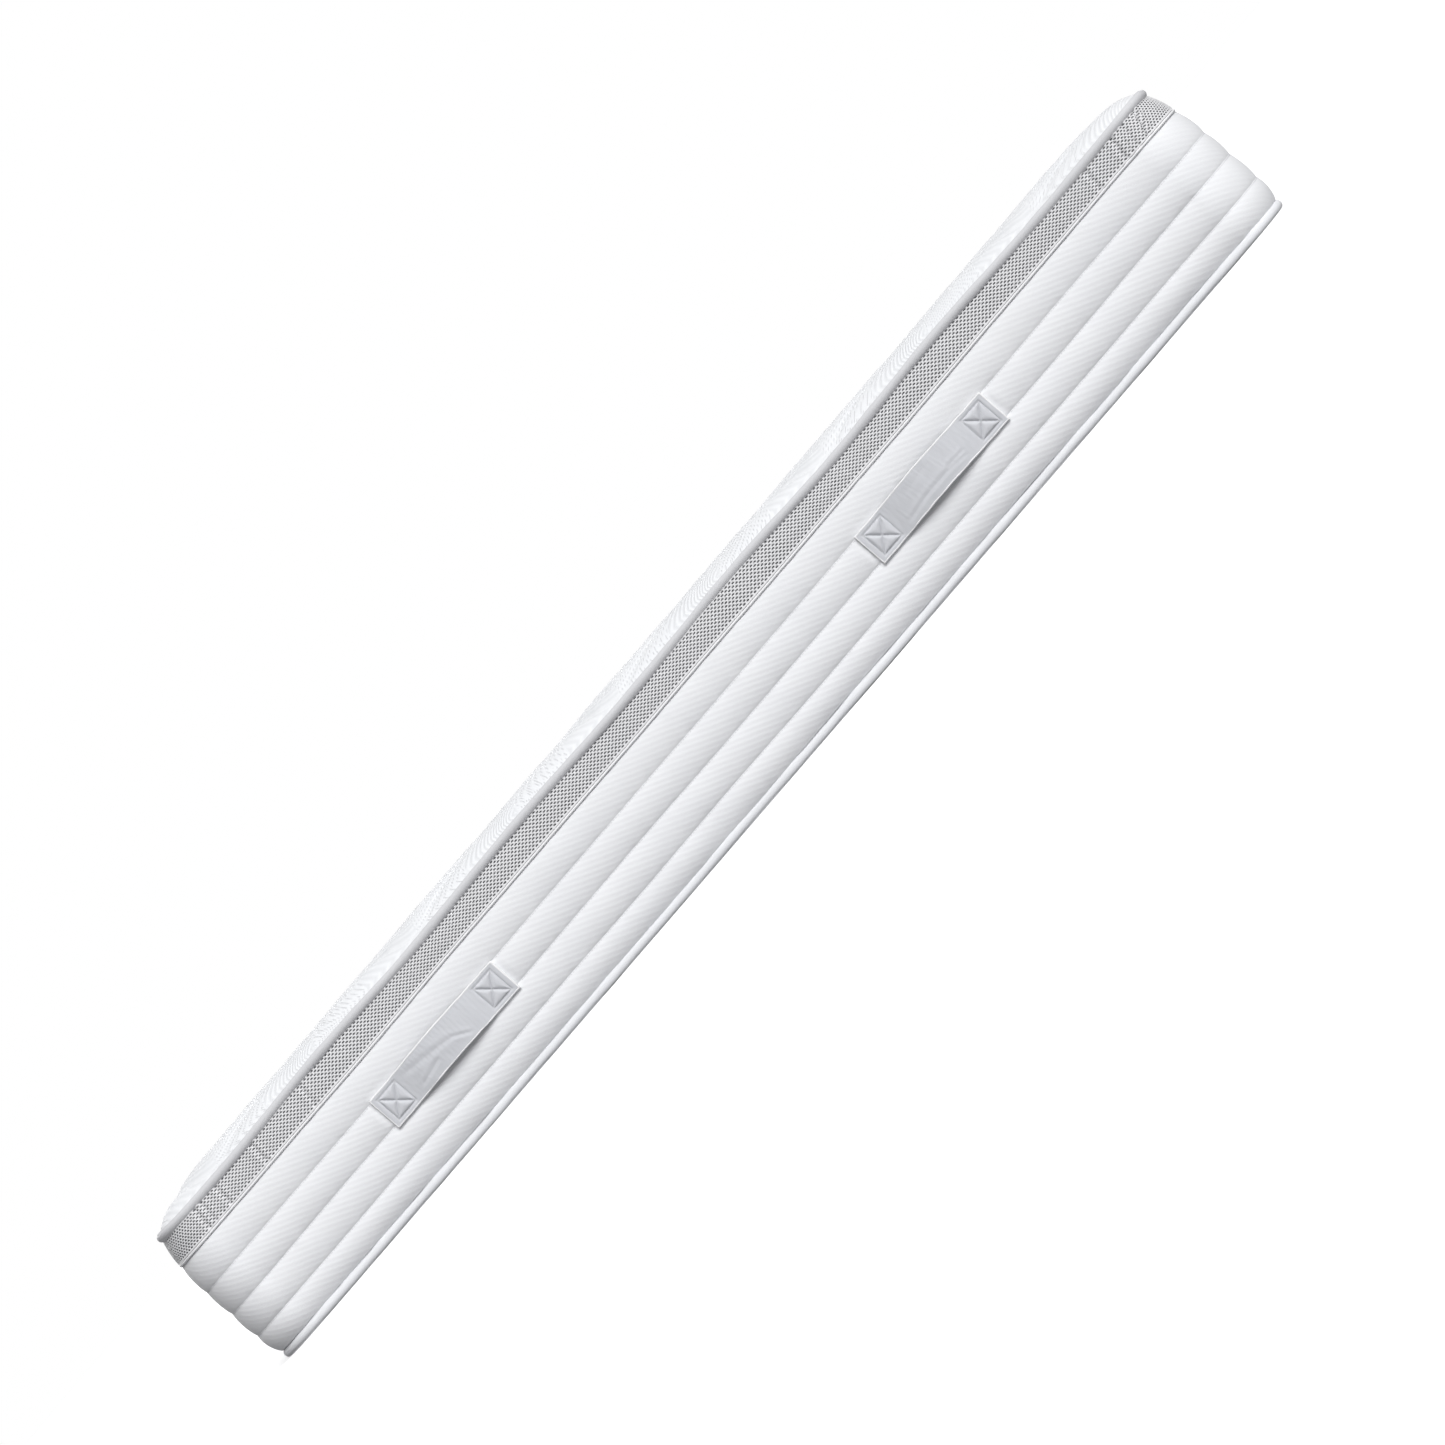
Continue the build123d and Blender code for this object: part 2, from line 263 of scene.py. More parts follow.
shade = mix(tree, noise(tree, 0.4, 3), FLOOR_COLOUR, tuple(0.98 * c for c in FLOOR_COLOUR))
seen = add_node(tree, "ShaderNodeLightPath", {}).outputs["Is Camera Ray"]
paper = add_node(tree, "ShaderNodeBsdfDiffuse", {"Color": mix(tree, seen, FLOOR_BOUNCE, shade)})
glow = add_node(tree, "ShaderNodeEmission", {"Strength": calculate(tree, "MULTIPLY", seen, FLOOR_GLOW)})
lit = add_node(tree, "ShaderNodeAddShader", {0: paper.outputs[0], 1: glow.outputs[0]})
clear = add_node(tree, "ShaderNodeBsdfTransparent", {})
underside = add_node(tree, "ShaderNodeNewGeometry", {}).outputs["Backfacing"]
one_way = add_node(tree, "ShaderNodeMixShader", {0: underside, 1: lit.outputs[0], 2: clear.outputs[0]})
plug(tree, one_way.outputs[0], output.inputs["Surface"])
floor_mesh.materials.append(floor_paint)
floor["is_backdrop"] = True
print("floor", FLOOR_SIZE, "m across")

# %% [markdown]
# ## Surface effects as node groups
#
# Every cloth here is a mix of a few effects: knitted loops, ribs, pin dots, fuzz, an uneven tone
# and a painted shade in the dips. Each effect is a node group that gives a height from 0 to 1 or a
# colour. The groups read a map in metres, so a loop of 1.4 mm is 1.4 mm on every piece, and the
# pattern follows the cloth round a bend.

# %% Group maker


def new_group(name, inputs, output, kind="NodeSocketFloat"):
    """A shader group with named inputs and one output. Returns its tree, inputs and output socket."""
    group = bpy.data.node_groups.new(name, "ShaderNodeTree")
    kinds = {type(None): "NodeSocketVector", tuple: "NodeSocketColor", float: "NodeSocketFloat"}
    for label, value in inputs.items():
        made = group.interface.new_socket(label, in_out="INPUT", socket_type=kinds[type(value)])
        if value is not None:
            made.default_value = value
    group.interface.new_socket(output, in_out="OUTPUT", socket_type=kind)
    entry = group.nodes.new("NodeGroupInput")
    leave = group.nodes.new("NodeGroupOutput")
    return group, entry.outputs, leave.inputs[output]


def split(tree, vector):
    """The first two parts of a vector."""
    parts = add_node(tree, "ShaderNodeSeparateXYZ", {"Vector": vector})
    return parts.outputs["X"], parts.outputs["Y"]


def swing(tree, turns):
    """A wave from 0 to 1, once for each whole turn."""
    sine = calculate(tree, "SINE", calculate(tree, "MULTIPLY", turns, 2 * math.pi))
    return calculate(tree, "MULTIPLY_ADD", sine, 0.5, 0.5)


# %% Knitted loops: slanted stitch legs that meet in columns of Vs
loops, given, result = new_group("knit_loops", {"Map": None, "Width": 1.4, "Height": 1.1}, "Height")
u, v = split(loops, given["Map"])
column = calculate(loops, "DIVIDE", u, calculate(loops, "MULTIPLY", given["Width"], MM))
course = calculate(loops, "DIVIDE", v, calculate(loops, "MULTIPLY", given["Height"], MM))
leg = calculate(loops, "PINGPONG", column, 0.5)
slanted = swing(loops, calculate(loops, "MULTIPLY_ADD", leg, 1.1, course))
between = calculate(loops, "SINE", calculate(loops, "MULTIPLY", leg, 2 * math.pi))
plug(loops, calculate(loops, "MULTIPLY", slanted, between), result)

# %% Ribs: lines at a slope, which a soft noise bends and lets fade
ribs, given, result = new_group(
    "ribs", {"Map": None, "Pitch": 6.6, "Slope": 0.0, "Wobble": 0.0, "Fading": 0.0}, "Height"
)
u, v = split(ribs, given["Map"])
along = calculate(ribs, "MULTIPLY", u, calculate(ribs, "COSINE", given["Slope"]))
across = calculate(ribs, "MULTIPLY", v, calculate(ribs, "SINE", given["Slope"]))
turned = calculate(ribs, "DIVIDE", calculate(ribs, "ADD", along, across), MM)
bent = calculate(ribs, "MULTIPLY", noise(ribs, 14, 2, Vector=given["Map"]), given["Wobble"])
lines = swing(ribs, calculate(ribs, "ADD", calculate(ribs, "DIVIDE", turned, given["Pitch"]), bent))
faded = calculate(ribs, "MULTIPLY", noise(ribs, 23, 1, Vector=given["Map"]), given["Fading"])
plug(ribs, calculate(ribs, "MULTIPLY", lines, calculate(ribs, "SUBTRACT", 1, faded)), result)

# %% Pin dots: small dips in staggered rows
dots, given, result = new_group(
    "pin_dots", {"Map": None, "Pitch": 3.0, "Rows": 2.0, "Size": 0.3}, "Height"
)
u, v = split(dots, given["Map"])
row = calculate(dots, "DIVIDE", v, calculate(dots, "MULTIPLY", given["Rows"], MM))
stagger = calculate(dots, "MULTIPLY", calculate(dots, "FLOOR", row), 0.5)
place = calculate(dots, "DIVIDE", u, calculate(dots, "MULTIPLY", given["Pitch"], MM))
sideways = calculate(dots, "SUBTRACT", calculate(dots, "FRACT", calculate(dots, "ADD", place, stagger)), 0.5)
upwards = calculate(dots, "SUBTRACT", calculate(dots, "FRACT", row), 0.5)
squares = [calculate(dots, "POWER", part, 2) for part in (sideways, upwards)]
reach = calculate(dots, "SQRT", calculate(dots, "ADD", *squares))
floor_of_dot = calculate(dots, "MULTIPLY", given["Size"], 0.5)
dot_edge = remap(dots, reach, floor_of_dot, given["Size"], interpolation_type="SMOOTHSTEP")
plug(dots, dot_edge, result)

# %% Fuzz: fine yarn noise
fuzz, given, result = new_group("fuzz", {"Map": None, "Grain": 1.0}, "Height")
fineness = calculate(fuzz, "DIVIDE", 1 / MM, given["Grain"])
plug(fuzz, noise(fuzz, fineness, 3, Vector=given["Map"]), result)

# %% Foam cells: round pores with thin walls
cells, given, result = new_group("foam_cells", {"Map": None, "Pore": 1.5}, "Height")
fineness = calculate(cells, "DIVIDE", 1 / MM, given["Pore"])
pores = add_node(cells, "ShaderNodeTexVoronoi", {"Vector": given["Map"], "Scale": fineness})
plug(cells, calculate(cells, "SQRT", pores.outputs["Distance"]), result)

# %% Uneven tone and painted shade: the colour drifts towards a second colour, and the relief's dips are painted darker as shade
# The grey that the relief's dips are painted towards, as shade.
DIP_SHADE_COLOUR = (0.25, 0.26, 0.28, 1)
colours = {"Colour": (1, 1, 1, 1), "Second": (0.9, 0.9, 0.9, 1)}
tone_and_dip_shade, given, result = new_group(
    "uneven_tone_and_dip_shade",
    {"Map": None, **colours, "Patch": 80.0, "Relief": 1.0, "Dip Shade": 0.0},
    "Colour",
    "NodeSocketColor",
)
drift = noise(tone_and_dip_shade, calculate(tone_and_dip_shade, "DIVIDE", 1 / MM, given["Patch"]), 4, Vector=given["Map"])
drifted = mix(tone_and_dip_shade, drift, given["Colour"], given["Second"])
# Painted shade: where the relief dips, the colour is darkened towards that grey.
painted_dip_shade = calculate(tone_and_dip_shade, "MULTIPLY", calculate(tone_and_dip_shade, "SUBTRACT", 1, given["Relief"]), given["Dip Shade"])
plug(tone_and_dip_shade, mix(tone_and_dip_shade, painted_dip_shade, drifted, DIP_SHADE_COLOUR), result)
print("groups", [g.name for g in bpy.data.node_groups])

# %% [markdown]
# ## Finishes
#
# One function makes a cloth from a colour and a list of reliefs, each with its depth in
# millimetres. The reliefs are added up and feed one bump node. The same sum darkens the dips
# a little, because light gets lost between real yarns. Roughness drifts with the fuzz, and the
# sheen of short fibres is set on the shader itself.

# %% Cloth maker
MATERIALS = {}


def cloth(
    name, colour, second, reliefs, roughness=0.88, sheen=0.25, dip_shade=0.15, patch=90.0, layer="cloth"
):
    """A textile finish. Each relief is (group, depth in mm, its settings)."""
    made, tree, output = new_material(name)
    if layer:
        surface_map = add_node(tree, "ShaderNodeUVMap", {}, uv_map=layer).outputs["UV"]
    else:
        surface_map = add_node(tree, "ShaderNodeTexCoord", {}).outputs["Object"]
    total = 0.0
    whole = sum(depth for group, depth, settings in reliefs)
    for group, depth, settings in reliefs:
        effect = add_node(tree, "ShaderNodeGroup", {"Map": surface_map, **settings}, node_tree=group)
        total = calculate(tree, "MULTIPLY_ADD", effect.outputs["Height"], depth, total)
    relief = calculate(tree, "DIVIDE", total, whole)
    colours = {"Colour": (*colour, 1), "Second": (*second, 1)}
    # The tone group also paints shade into the dips of the relief.
    settings = {"Map": surface_map, **colours, "Patch": patch, "Relief": relief, "Dip Shade": dip_shade}
    toned_and_shaded = add_node(tree, "ShaderNodeGroup", settings, node_tree=tone_and_dip_shade)
    bump = add_node(tree, "ShaderNodeBump", {"Height": total, "Distance": MM, "Strength": 1.0})
    rough = calculate(tree, "MULTIPLY_ADD", relief, -0.12, roughness + 0.06)
    shader = add_node(
        tree,
        "ShaderNodeBsdfPrincipled",
        {
            "Base Color": toned_and_shaded.outputs["Colour"],
            "Roughness": rough,
            "Normal": bump.outputs["Normal"],
            "Specular IOR Level": 0.25,
            "Sheen Weight": sheen,
            "Sheen Roughness": 0.4,
        },
    )
    plug(tree, shader.outputs[0], output.inputs["Surface"])
    MATERIALS[name] = made
    return made


# %% The cover's cloths
WHITE = (0.86, 0.865, 0.88)
COOL_WHITE = (0.83, 0.84, 0.865)
cloth(
    "border_cloth",
    WHITE,
    COOL_WHITE,
    [
        (ribs, 0.20, {"Pitch": 7.2, "Slope": math.radians(61.7), "Wobble": 0.5, "Fading": 0.7}),
        (loops, 0.07, {"Width": 1.6, "Height": 1.2}),
        (fuzz, 0.06, {"Grain": 2.0}),
    ],
    dip_shade=0.05,
)
cloth(
    "welt_cloth",
    (0.93, 0.93, 0.94),
    (0.91, 0.91, 0.925),
    [(ribs, 0.06, {"Pitch": 1.2, "Slope": 0.6}), (fuzz, 0.05, {"Grain": 1.0})],
)
cloth(
    "binding_tape",
    (0.635, 0.638, 0.655),
    (0.595, 0.598, 0.618),
    [(dots, 0.10, {"Pitch": 2.8, "Rows": 1.9, "Size": 0.42}), (fuzz, 0.03, {"Grain": 1.2})],
    dip_shade=0.12,
    sheen=0.1,
)
cloth(
    "base_tape",
    (0.84, 0.85, 0.87),
    (0.81, 0.82, 0.85),
    [(dots, 0.12, {"Pitch": 2.8, "Rows": 1.9, "Size": 0.42}), (fuzz, 0.05, {"Grain": 1.2})],
    dip_shade=0.12,
    sheen=0.1,
)
cloth(
    "base_cloth",
    (0.80, 0.81, 0.83),
    (0.76, 0.77, 0.80),
    [(ribs, 0.20, {"Pitch": 4.0, "Slope": 0.0}), (loops, 0.12, {"Width": 1.8, "Height": 1.4})],
)
cloth(
    "spacer_mesh",
    (0.82, 0.82, 0.835),
    (0.77, 0.77, 0.785),
    [(ribs, 0.10, {"Pitch": 0.9, "Slope": 0.9}), (fuzz, 0.10, {"Grain": 0.8})],
)
# The mesh's ground is painted dark grey, and its dips darker still: painted shade for the depths of the
# holes.
cloth(
    "mesh_ground",
    (0.31, 0.31, 0.32),
    (0.27, 0.27, 0.28),
    [(loops, 0.20, {"Width": 1.3, "Height": 1.0}), (fuzz, 0.12, {"Grain": 1.0})],
    dip_shade=0.5,
)

# %% The handles' cloths and the thread
cloth(
    "strap_cloth",
    (0.68, 0.69, 0.722),
    (0.64, 0.652, 0.687),
    [
        (ribs, 0.10, {"Pitch": 1.5, "Slope": 0.0, "Wobble": 0.3, "Fading": 0.8}),
        (loops, 0.05, {"Width": 0.9, "Height": 0.8}),
        (fuzz, 0.05, {"Grain": 1.4}),
    ],
    roughness=0.62,
    sheen=0.4,
    dip_shade=0.10,
    patch=40.0,
)
cloth(
    "edging_tape",
    (0.95, 0.95, 0.955),
    (0.92, 0.92, 0.93),
    [(ribs, 0.08, {"Pitch": 0.9, "Slope": 0.0}), (fuzz, 0.05, {"Grain": 0.9})],
    roughness=0.8,
)
cloth(
    "webbing",
    (0.72, 0.72, 0.72),
    (0.68, 0.68, 0.69),
    [(ribs, 0.35, {"Pitch": 1.8, "Slope": 0.7}), (ribs, 0.35, {"Pitch": 1.8, "Slope": -0.7})],
)
# The thread is grey of its own, and is kept darker than the cloth as painted shade for the stitched grooves.
cloth(
    "thread",
    (0.66, 0.665, 0.69),
    (0.62, 0.625, 0.65),
    [(ribs, 0.06, {"Pitch": 0.5, "Slope": 0.8})],
    roughness=0.55,
    sheen=0.1,
)

# %% What is inside: foam, wadding and nonwoven
FOAMS = {
    "support_foam": ((0.84, 0.84, 0.79), (0.80, 0.80, 0.74), 1.8),
    "transition_foam": ((0.52, 0.66, 0.72), (0.47, 0.61, 0.68), 1.4),
    "memory_foam": ((0.88, 0.86, 0.79), (0.84, 0.82, 0.74), 0.9),
}
for foam, (colour, second, pore) in FOAMS.items():
    reliefs = [(cells, 0.5, {"Pore": pore}), (fuzz, 0.2, {"Grain": 2.5})]
    cloth(foam, colour, second, reliefs, roughness=0.95, sheen=0.1, dip_shade=0.4, patch=200.0, layer=None)
cloth(
    "wadding",
    (0.88, 0.88, 0.88),
    (0.84, 0.84, 0.85),
    [(fuzz, 0.9, {"Grain": 4.0}), (fuzz, 0.4, {"Grain": 1.2})],
    roughness=0.95,
    dip_shade=0.3,
    layer=None,
)
cloth(
    "nonwoven",
    (0.80, 0.80, 0.81),
    (0.75, 0.75, 0.76),
    [(dots, 0.15, {"Pitch": 2.5, "Rows": 2.5, "Size": 0.3}), (fuzz, 0.15, {"Grain": 1.5})],
    roughness=0.8,
    layer=None,
)

# %% [markdown]
# ## The jacquard of the panels
#
# The panel cloth is knitted in two patterns that take turns along the length: fans of fine ridges
# that echo the quilting lines, and rows of pin dots. The piece stores, beside its flat map, a
# second map whose first value is the distance to the nearest quilting line. A wave of that
# distance makes the echoing ridges.

# %% Jacquard group and panel cloth
FAN_REPEAT = 203.5 * MM
jacquard, given, result = new_group("jacquard", {"Map": None, "Quilt": None, "Ridge": 11.0}, "Height")
u, v = split(jacquard, given["Map"])
distance, phase = split(jacquard, given["Quilt"])
ridge_width = calculate(jacquard, "MULTIPLY", given["Ridge"], MM)
ridge = swing(jacquard, calculate(jacquard, "DIVIDE", distance, ridge_width))
dotted_map = add_node(jacquard, "ShaderNodeCombineXYZ", {"X": u, "Y": distance}).outputs[0]
dot_sizes = {"Map": dotted_map, "Pitch": 5.5, "Rows": 9.0, "Size": 0.30}
dotted = add_node(jacquard, "ShaderNodeGroup", dot_sizes, node_tree=dots).outputs["Height"]
turn = swing(jacquard, calculate(jacquard, "DIVIDE", phase, FAN_REPEAT))
chosen = remap(jacquard, turn, 0.45, 0.55, interpolation_type="SMOOTHSTEP")
plug(jacquard, mix(jacquard, chosen, ridge, dotted, "FLOAT"), result)

# %% Panel cloth, with the two patterns of the jacquard and the fine loops
panel_cloth = cloth(
    "panel_cloth",
    (0.825, 0.832, 0.848),
    (0.78, 0.795, 0.822),
    [(jacquard, 0.55, {}), (loops, 0.05, {"Width": 1.5, "Height": 1.2}), (fuzz, 0.06, {"Grain": 2.0})],
    dip_shade=0.12,
)
tree = panel_cloth.node_tree
quilt_map = add_node(tree, "ShaderNodeUVMap", {}, uv_map="quilt").outputs["UV"]
for effect in [n for n in tree.nodes if n.type == "GROUP" and n.node_tree == jacquard]:
    plug(tree, quilt_map, effect.inputs["Quilt"])
print("finishes", sorted(MATERIALS))

# %% [markdown]
# ## The outline that everything follows
#
# Seen from above the mattress is a rectangle with rounded corners. `rim` turns a distance round
# it into a point and its outward direction. A quarter of the outline is worked out once, and the
# other three are its mirror images.

# %% Outline
CORNER = 80 * MM
HALF_LENGTH, HALF_WIDTH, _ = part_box("border_knit")[1]
STRAIGHT = HALF_LENGTH - CORNER
END_RUN = HALF_WIDTH - CORNER
QUARTER = STRAIGHT + END_RUN + CORNER * math.pi / 2
ROUND = 4 * QUARTER


def rim(s):
    """Place and outward direction, s metres anticlockwise from the middle of the front side."""
    run = np.mod(s, ROUND)
    side_x = np.where(run > ROUND / 2, -1, 1)
    run = np.where(run > ROUND / 2, ROUND - run, run)
    side_y = np.where(run > QUARTER, 1, -1)
    run = np.where(run > QUARTER, ROUND / 2 - run, run)
    angle = np.clip((run - STRAIGHT) / CORNER, 0, math.pi / 2)
    x = np.minimum(run, STRAIGHT) + CORNER * np.sin(angle)
    y = END_RUN + CORNER * np.cos(angle) - np.maximum(run - QUARTER + END_RUN, 0)
    return x * side_x, y * side_y, np.sin(angle) * side_x, np.cos(angle) * side_y


def stations(spacing):
    """Evenly spaced places all round, starting in the middle of the back."""
    count = round(ROUND / spacing)
    return (np.arange(count) / count - 0.5) * ROUND


print("round the outline", round(ROUND, 4), "m")

# %% Seeded unevenness: sums of a few waves, the same at every run
WAVES = 9


def ramp(value, start, end):
    """0 before start, 1 after end, smooth between them."""
    t = np.clip((value - start) / (end - start), 0, 1)
    return t * t * (3 - 2 * t)


def sway(s, longest, shortest, seed):
    """A wobble from about -1 to 1 that closes on itself round the outline."""
    draw = np.random.default_rng(seed)
    lengths = np.geomspace(longest, shortest, WAVES)
    counts = np.round(ROUND / lengths * draw.uniform(0.85, 1.15, WAVES))
    phases = draw.uniform(0, 2 * math.pi, WAVES)
    total = sum(np.sin(2 * math.pi * n * s / ROUND + p) for n, p in zip(counts, phases))
    return total / math.sqrt(WAVES)


def ripple(x, y, size, seed):
    """Soft bumps in two directions, about a size across, from about -1 to 1."""
    draw = np.random.default_rng(seed)
    angles = draw.uniform(0, math.pi, WAVES)
    phases = draw.uniform(0, 2 * math.pi, WAVES)
    stretches = draw.uniform(0.7, 1.5, WAVES)
    total = 0
    for angle, phase, stretch in zip(angles, phases, stretches):
        reach = (x * math.cos(angle) + y * math.sin(angle)) / (size * stretch)
        total = total + np.sin(2 * math.pi * reach + phase)
    return total / math.sqrt(WAVES)


# %% [markdown]
# ## From a grid of points to a piece
#
# A woven thing is a grid, so most pieces start as rows and columns of points. The grid may close
# on itself one way, as a ring does, or both ways, as a tube that runs round does. Each face also
# gets its place on the flat cloth, in metres, which the finishes read.

# %% Mesh makers


def new_piece(name, points, faces, flat, finish):
    """A smooth mesh object from points, faces and one flat place per face corner."""
    mesh = bpy.data.meshes.new(name)
    mesh.from_pydata(points.tolist(), [], faces)
    mesh.uv_layers.new(name="cloth").uv.foreach_set("vector", flat.astype(np.float32).ravel())
    mesh.shade_smooth()
    mesh.materials.append(MATERIALS[finish])
    made = bpy.data.objects.new(name, mesh)
    bpy.context.scene.collection.objects.link(made)
    return made


def grid_faces(rows, columns, close_rows=False, close_columns=False):
    """Corner rows and columns of each face. The last ones may run past the end to close."""
    up = np.arange(rows - (not close_rows))
    along = np.arange(columns - (not close_columns))
    i, j = np.meshgrid(up, along, indexing="ij")
    row = np.stack([i, i + 1, i + 1, i], -1).reshape(-1, 4)
    column = np.stack([j, j, j + 1, j + 1], -1).reshape(-1, 4)
    return row, column


def cloth_grid(name, points, u, v, finish, close_rows=False, close_columns=False, caps=False):
    """A piece from a grid of points. Row i lies at u[i] on the flat cloth, and column j at v[j]."""
    rows, columns = points.shape[:2]
    row, column = grid_faces(rows, columns, close_rows, close_columns)
    faces = ((row % rows) * columns + column % columns).tolist()
    flat = np.stack([u[row], v[column]], -1).reshape(-1, 2)
    if caps:
        ring_rows = np.arange(rows)
        low = (ring_rows * columns)[::-1]
        high = ring_rows * columns + columns - 1
        if close_columns:
            low = np.arange(columns)
            high = ((rows - 1) * columns + np.arange(columns))[::-1]
        for cap in (low, high):
            faces.append(cap.tolist())
            flat = np.concatenate([flat, points.reshape(-1, 3)[cap][:, :2]])
    return new_piece(name, points.reshape(-1, 3), faces, flat, finish)


def ring_grid(s, inset, level):
    """Points of a strip all round: a row for each station, a column for each point of its section."""
    x, y, out_x, out_y = (part[:, None] for part in rim(s))
    return np.stack([x - inset * out_x, y - inset * out_y, level + 0 * x], -1)


def ring_piece(name, s, inset, level, finish, closed=True, caps=False):
    """A strip or tube all round, its section given upwards along its outer face."""
    shape = np.broadcast_shapes(inset.shape, level.shape, (len(s), 1))
    inset = np.broadcast_to(inset, shape)
    level = np.broadcast_to(level, shape)
    steps = np.hypot(np.diff(inset, axis=1), np.diff(level, axis=1)).mean(0)
    girth = np.append(0, np.cumsum(steps))
    girth = np.append(girth, girth[-1] + steps[0])
    u = np.append(s, ROUND / 2)
    points = ring_grid(s, inset, level)
    return cloth_grid(name, points, u, girth, finish, close_rows=True, close_columns=closed, caps=caps)


def place_piece(piece, body, slot, *nodes):
    """Rides a piece on a body and hides the CAD nodes that it stands for. The slot is not used."""
    if body:
        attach(piece, body)
    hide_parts(*nodes)
    print(piece.name, len(piece.data.polygons), "faces")
    return piece


# %% [markdown]
# ## Handles come first
#
# The strap ends press the border flat, so the border has to know where they are. Their places and
# sizes are read off the CAD model's edging tape.

# %% Handle places
CORNERS = ("front_left", "front_right", "back_left", "back_right")
PLACES = {}
for corner in CORNERS:
    low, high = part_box(f"{corner}_tab_edging")
    middle = (low + high) / 2
    PLACES[corner] = {"x": middle.x, "side": math.copysign(1, middle.y), "level": middle.z}
HANDLE_HALF = (high.x - low.x) / 2
STRAP_HALF = (high.z - low.z) / 2
EDGING = 2.3 * MM
STRAP_THICKNESS = 4.8 * MM
TAB_SINK = 3 * MM
TAB_INNER = HANDLE_HALF - 46 * MM
print({c: [round(v, 4) for v in p.values()] for c, p in PLACES.items()})


def pressed(s, level):
    """1 where a strap end presses the border flat, 0 away from the handles."""
    x, y, out_x, out_y = rim(s)
    total = 0
    for place in PLACES.values():
        u = np.abs(x - place["x"])
        beside = np.abs(level - place["level"])
        inward = ramp(u, TAB_INNER - 20 * MM, TAB_INNER - 11 * MM)
        outward = ramp(u, HANDLE_HALF + 1 * MM, HANDLE_HALF + 9 * MM)
        over = ramp(beside, STRAP_HALF + 0.5 * MM, STRAP_HALF + 8 * MM)
        total = total + inward * (1 - outward) * (1 - over) * (out_y * place["side"] > 0.99)
    return total


# %% [markdown]
# ## Border cover
#
# The border is one long knit cover, sewn through its wadding along three lines, so it swells into
# four channels. A cloth simulation would need a mesh finer than the seams all round 5.7 m, and the
# channels are so regular that their section can be written down: pulled in sharply at each seam,
# full between them, a little fuller below the middle, with small puckers that the thread pulls
# into the seams. The cover has a thickness, so it is a closed ring of outer and inner face.

# %% Channel shape
SEAM_LEVELS = np.array((13.3, 51, 95, 139, 184)) * MM
SEAM_INSETS = np.array((9, 5.0, 5.0, 5.0, 6.6)) * MM
END_TAUTNESS = (0.0, 0.5, 0.5, 0.5, 0.0)
FULLEST = np.array((1.0, -0.3, 0.1, 1.6)) * MM
PUCKER_REACH = 5 * MM
PUCKER_DEPTH = 0.32 * MM
COVER = 1.4 * MM
FILLING_BACK = 14.4 * MM


def seam_level(k, s):
    """Height of a seam, which wanders a little as sewn lines do."""
    return SEAM_LEVELS[k] + 0.7 * MM * sway(s, 1.6, 0.3, seed=k)


def seam_inset(k, s):
    """How far in a seam lies. The inner seams are shallower at the two short ends."""
    return SEAM_INSETS[k] * (1 - END_TAUTNESS[k] * np.abs(rim(s)[2]))


def channel_face(k, t, s):
    """Inset and level of channel k, t from 0 at its lower seam to 1 at its upper seam."""
    low = seam_level(k, s)
    high = seam_level(k + 1, s)
    level = low + (high - low) * t
    low_inset = seam_inset(k, s)
    high_inset = seam_inset(k + 1, s)
    relief = (low_inset + high_inset) / 2 - FULLEST[k]
    sagged = t**0.94
    belly = (1 - (2 * sagged - 1) ** 2) ** 0.8
    lumps = 1 + 0.07 * sway(s, 0.5, 0.09, seed=40 + k)
    height = SEAM_LEVELS[k + 1] - SEAM_LEVELS[k]
    lower_pucker = np.exp(-t * height / PUCKER_REACH) * sway(s, 0.07, 0.022, seed=20 + k)
    upper_pucker = np.exp(-(1 - t) * height / PUCKER_REACH) * sway(s, 0.07, 0.022, seed=21 + k)
    inset = low_inset * (1 - t) + high_inset * t - relief * belly * lumps
    inset = inset + PUCKER_DEPTH * (lower_pucker + upper_pucker)
    flat = pressed(s, level)
    return inset + flat * np.maximum(0, TAB_SINK + 0.35 * MM - inset), level


def border_wall(s, samples, depth=0.0):
    """Inset and level of the whole border from its lowest seam to its highest."""
    insets = []
    levels = []
    for k in range(4):
        turns = np.arange(0 if k == 0 else 1, samples + 1) / samples
        for t in (1 - np.cos(math.pi * turns)) / 2:
            inset, level = channel_face(k, t, s)
            insets.append(inset + depth)
            levels.append(level)
    return np.stack(insets, 1), np.stack(levels, 1)


# %% Border cover and its wadding
s = stations(4.5 * MM)
outer_inset, outer_level = border_wall(s, 12)
inner_inset, inner_level = border_wall(s, 4, COVER)
cover_inset = np.concatenate([outer_inset, inner_inset[:, ::-1]], 1)
cover_level = np.concatenate([outer_level, inner_level[:, ::-1]], 1)
border_cover = ring_piece("border_cover", s, cover_inset, cover_level, "border_cloth")
place_piece(border_cover, "root", "border_cloth", "border_knit")

s = stations(12 * MM)
wall_inset, wall_level = border_wall(s, 6, COVER + 0.8 * MM)
behind = np.full_like(wall_inset[:, :2], FILLING_BACK)
fill_inset = np.concatenate([wall_inset, behind], 1)
fill_level = np.concatenate([wall_level, wall_level[:, -1:], wall_level[:, :1]], 1)
border_filling = ring_piece("border_filling", s, fill_inset, fill_level, "wadding")
place_piece(border_filling, "root", "wadding", "border_wadding")

# %% [markdown]
# ## Thread
#
# A stitch is a short grain of thread that dives into the cloth at both ends. One template grain is
# laid between every pair of points, and all the grains of a seam are one mesh.

# %% Stitch maker
GRAIN_RINGS = ((0.0, 0.35, -0.6), (0.22, 1.0, 0.1), (0.78, 1.0, 0.1), (1.0, 0.35, -0.6))
GRAIN_SIDES = 6


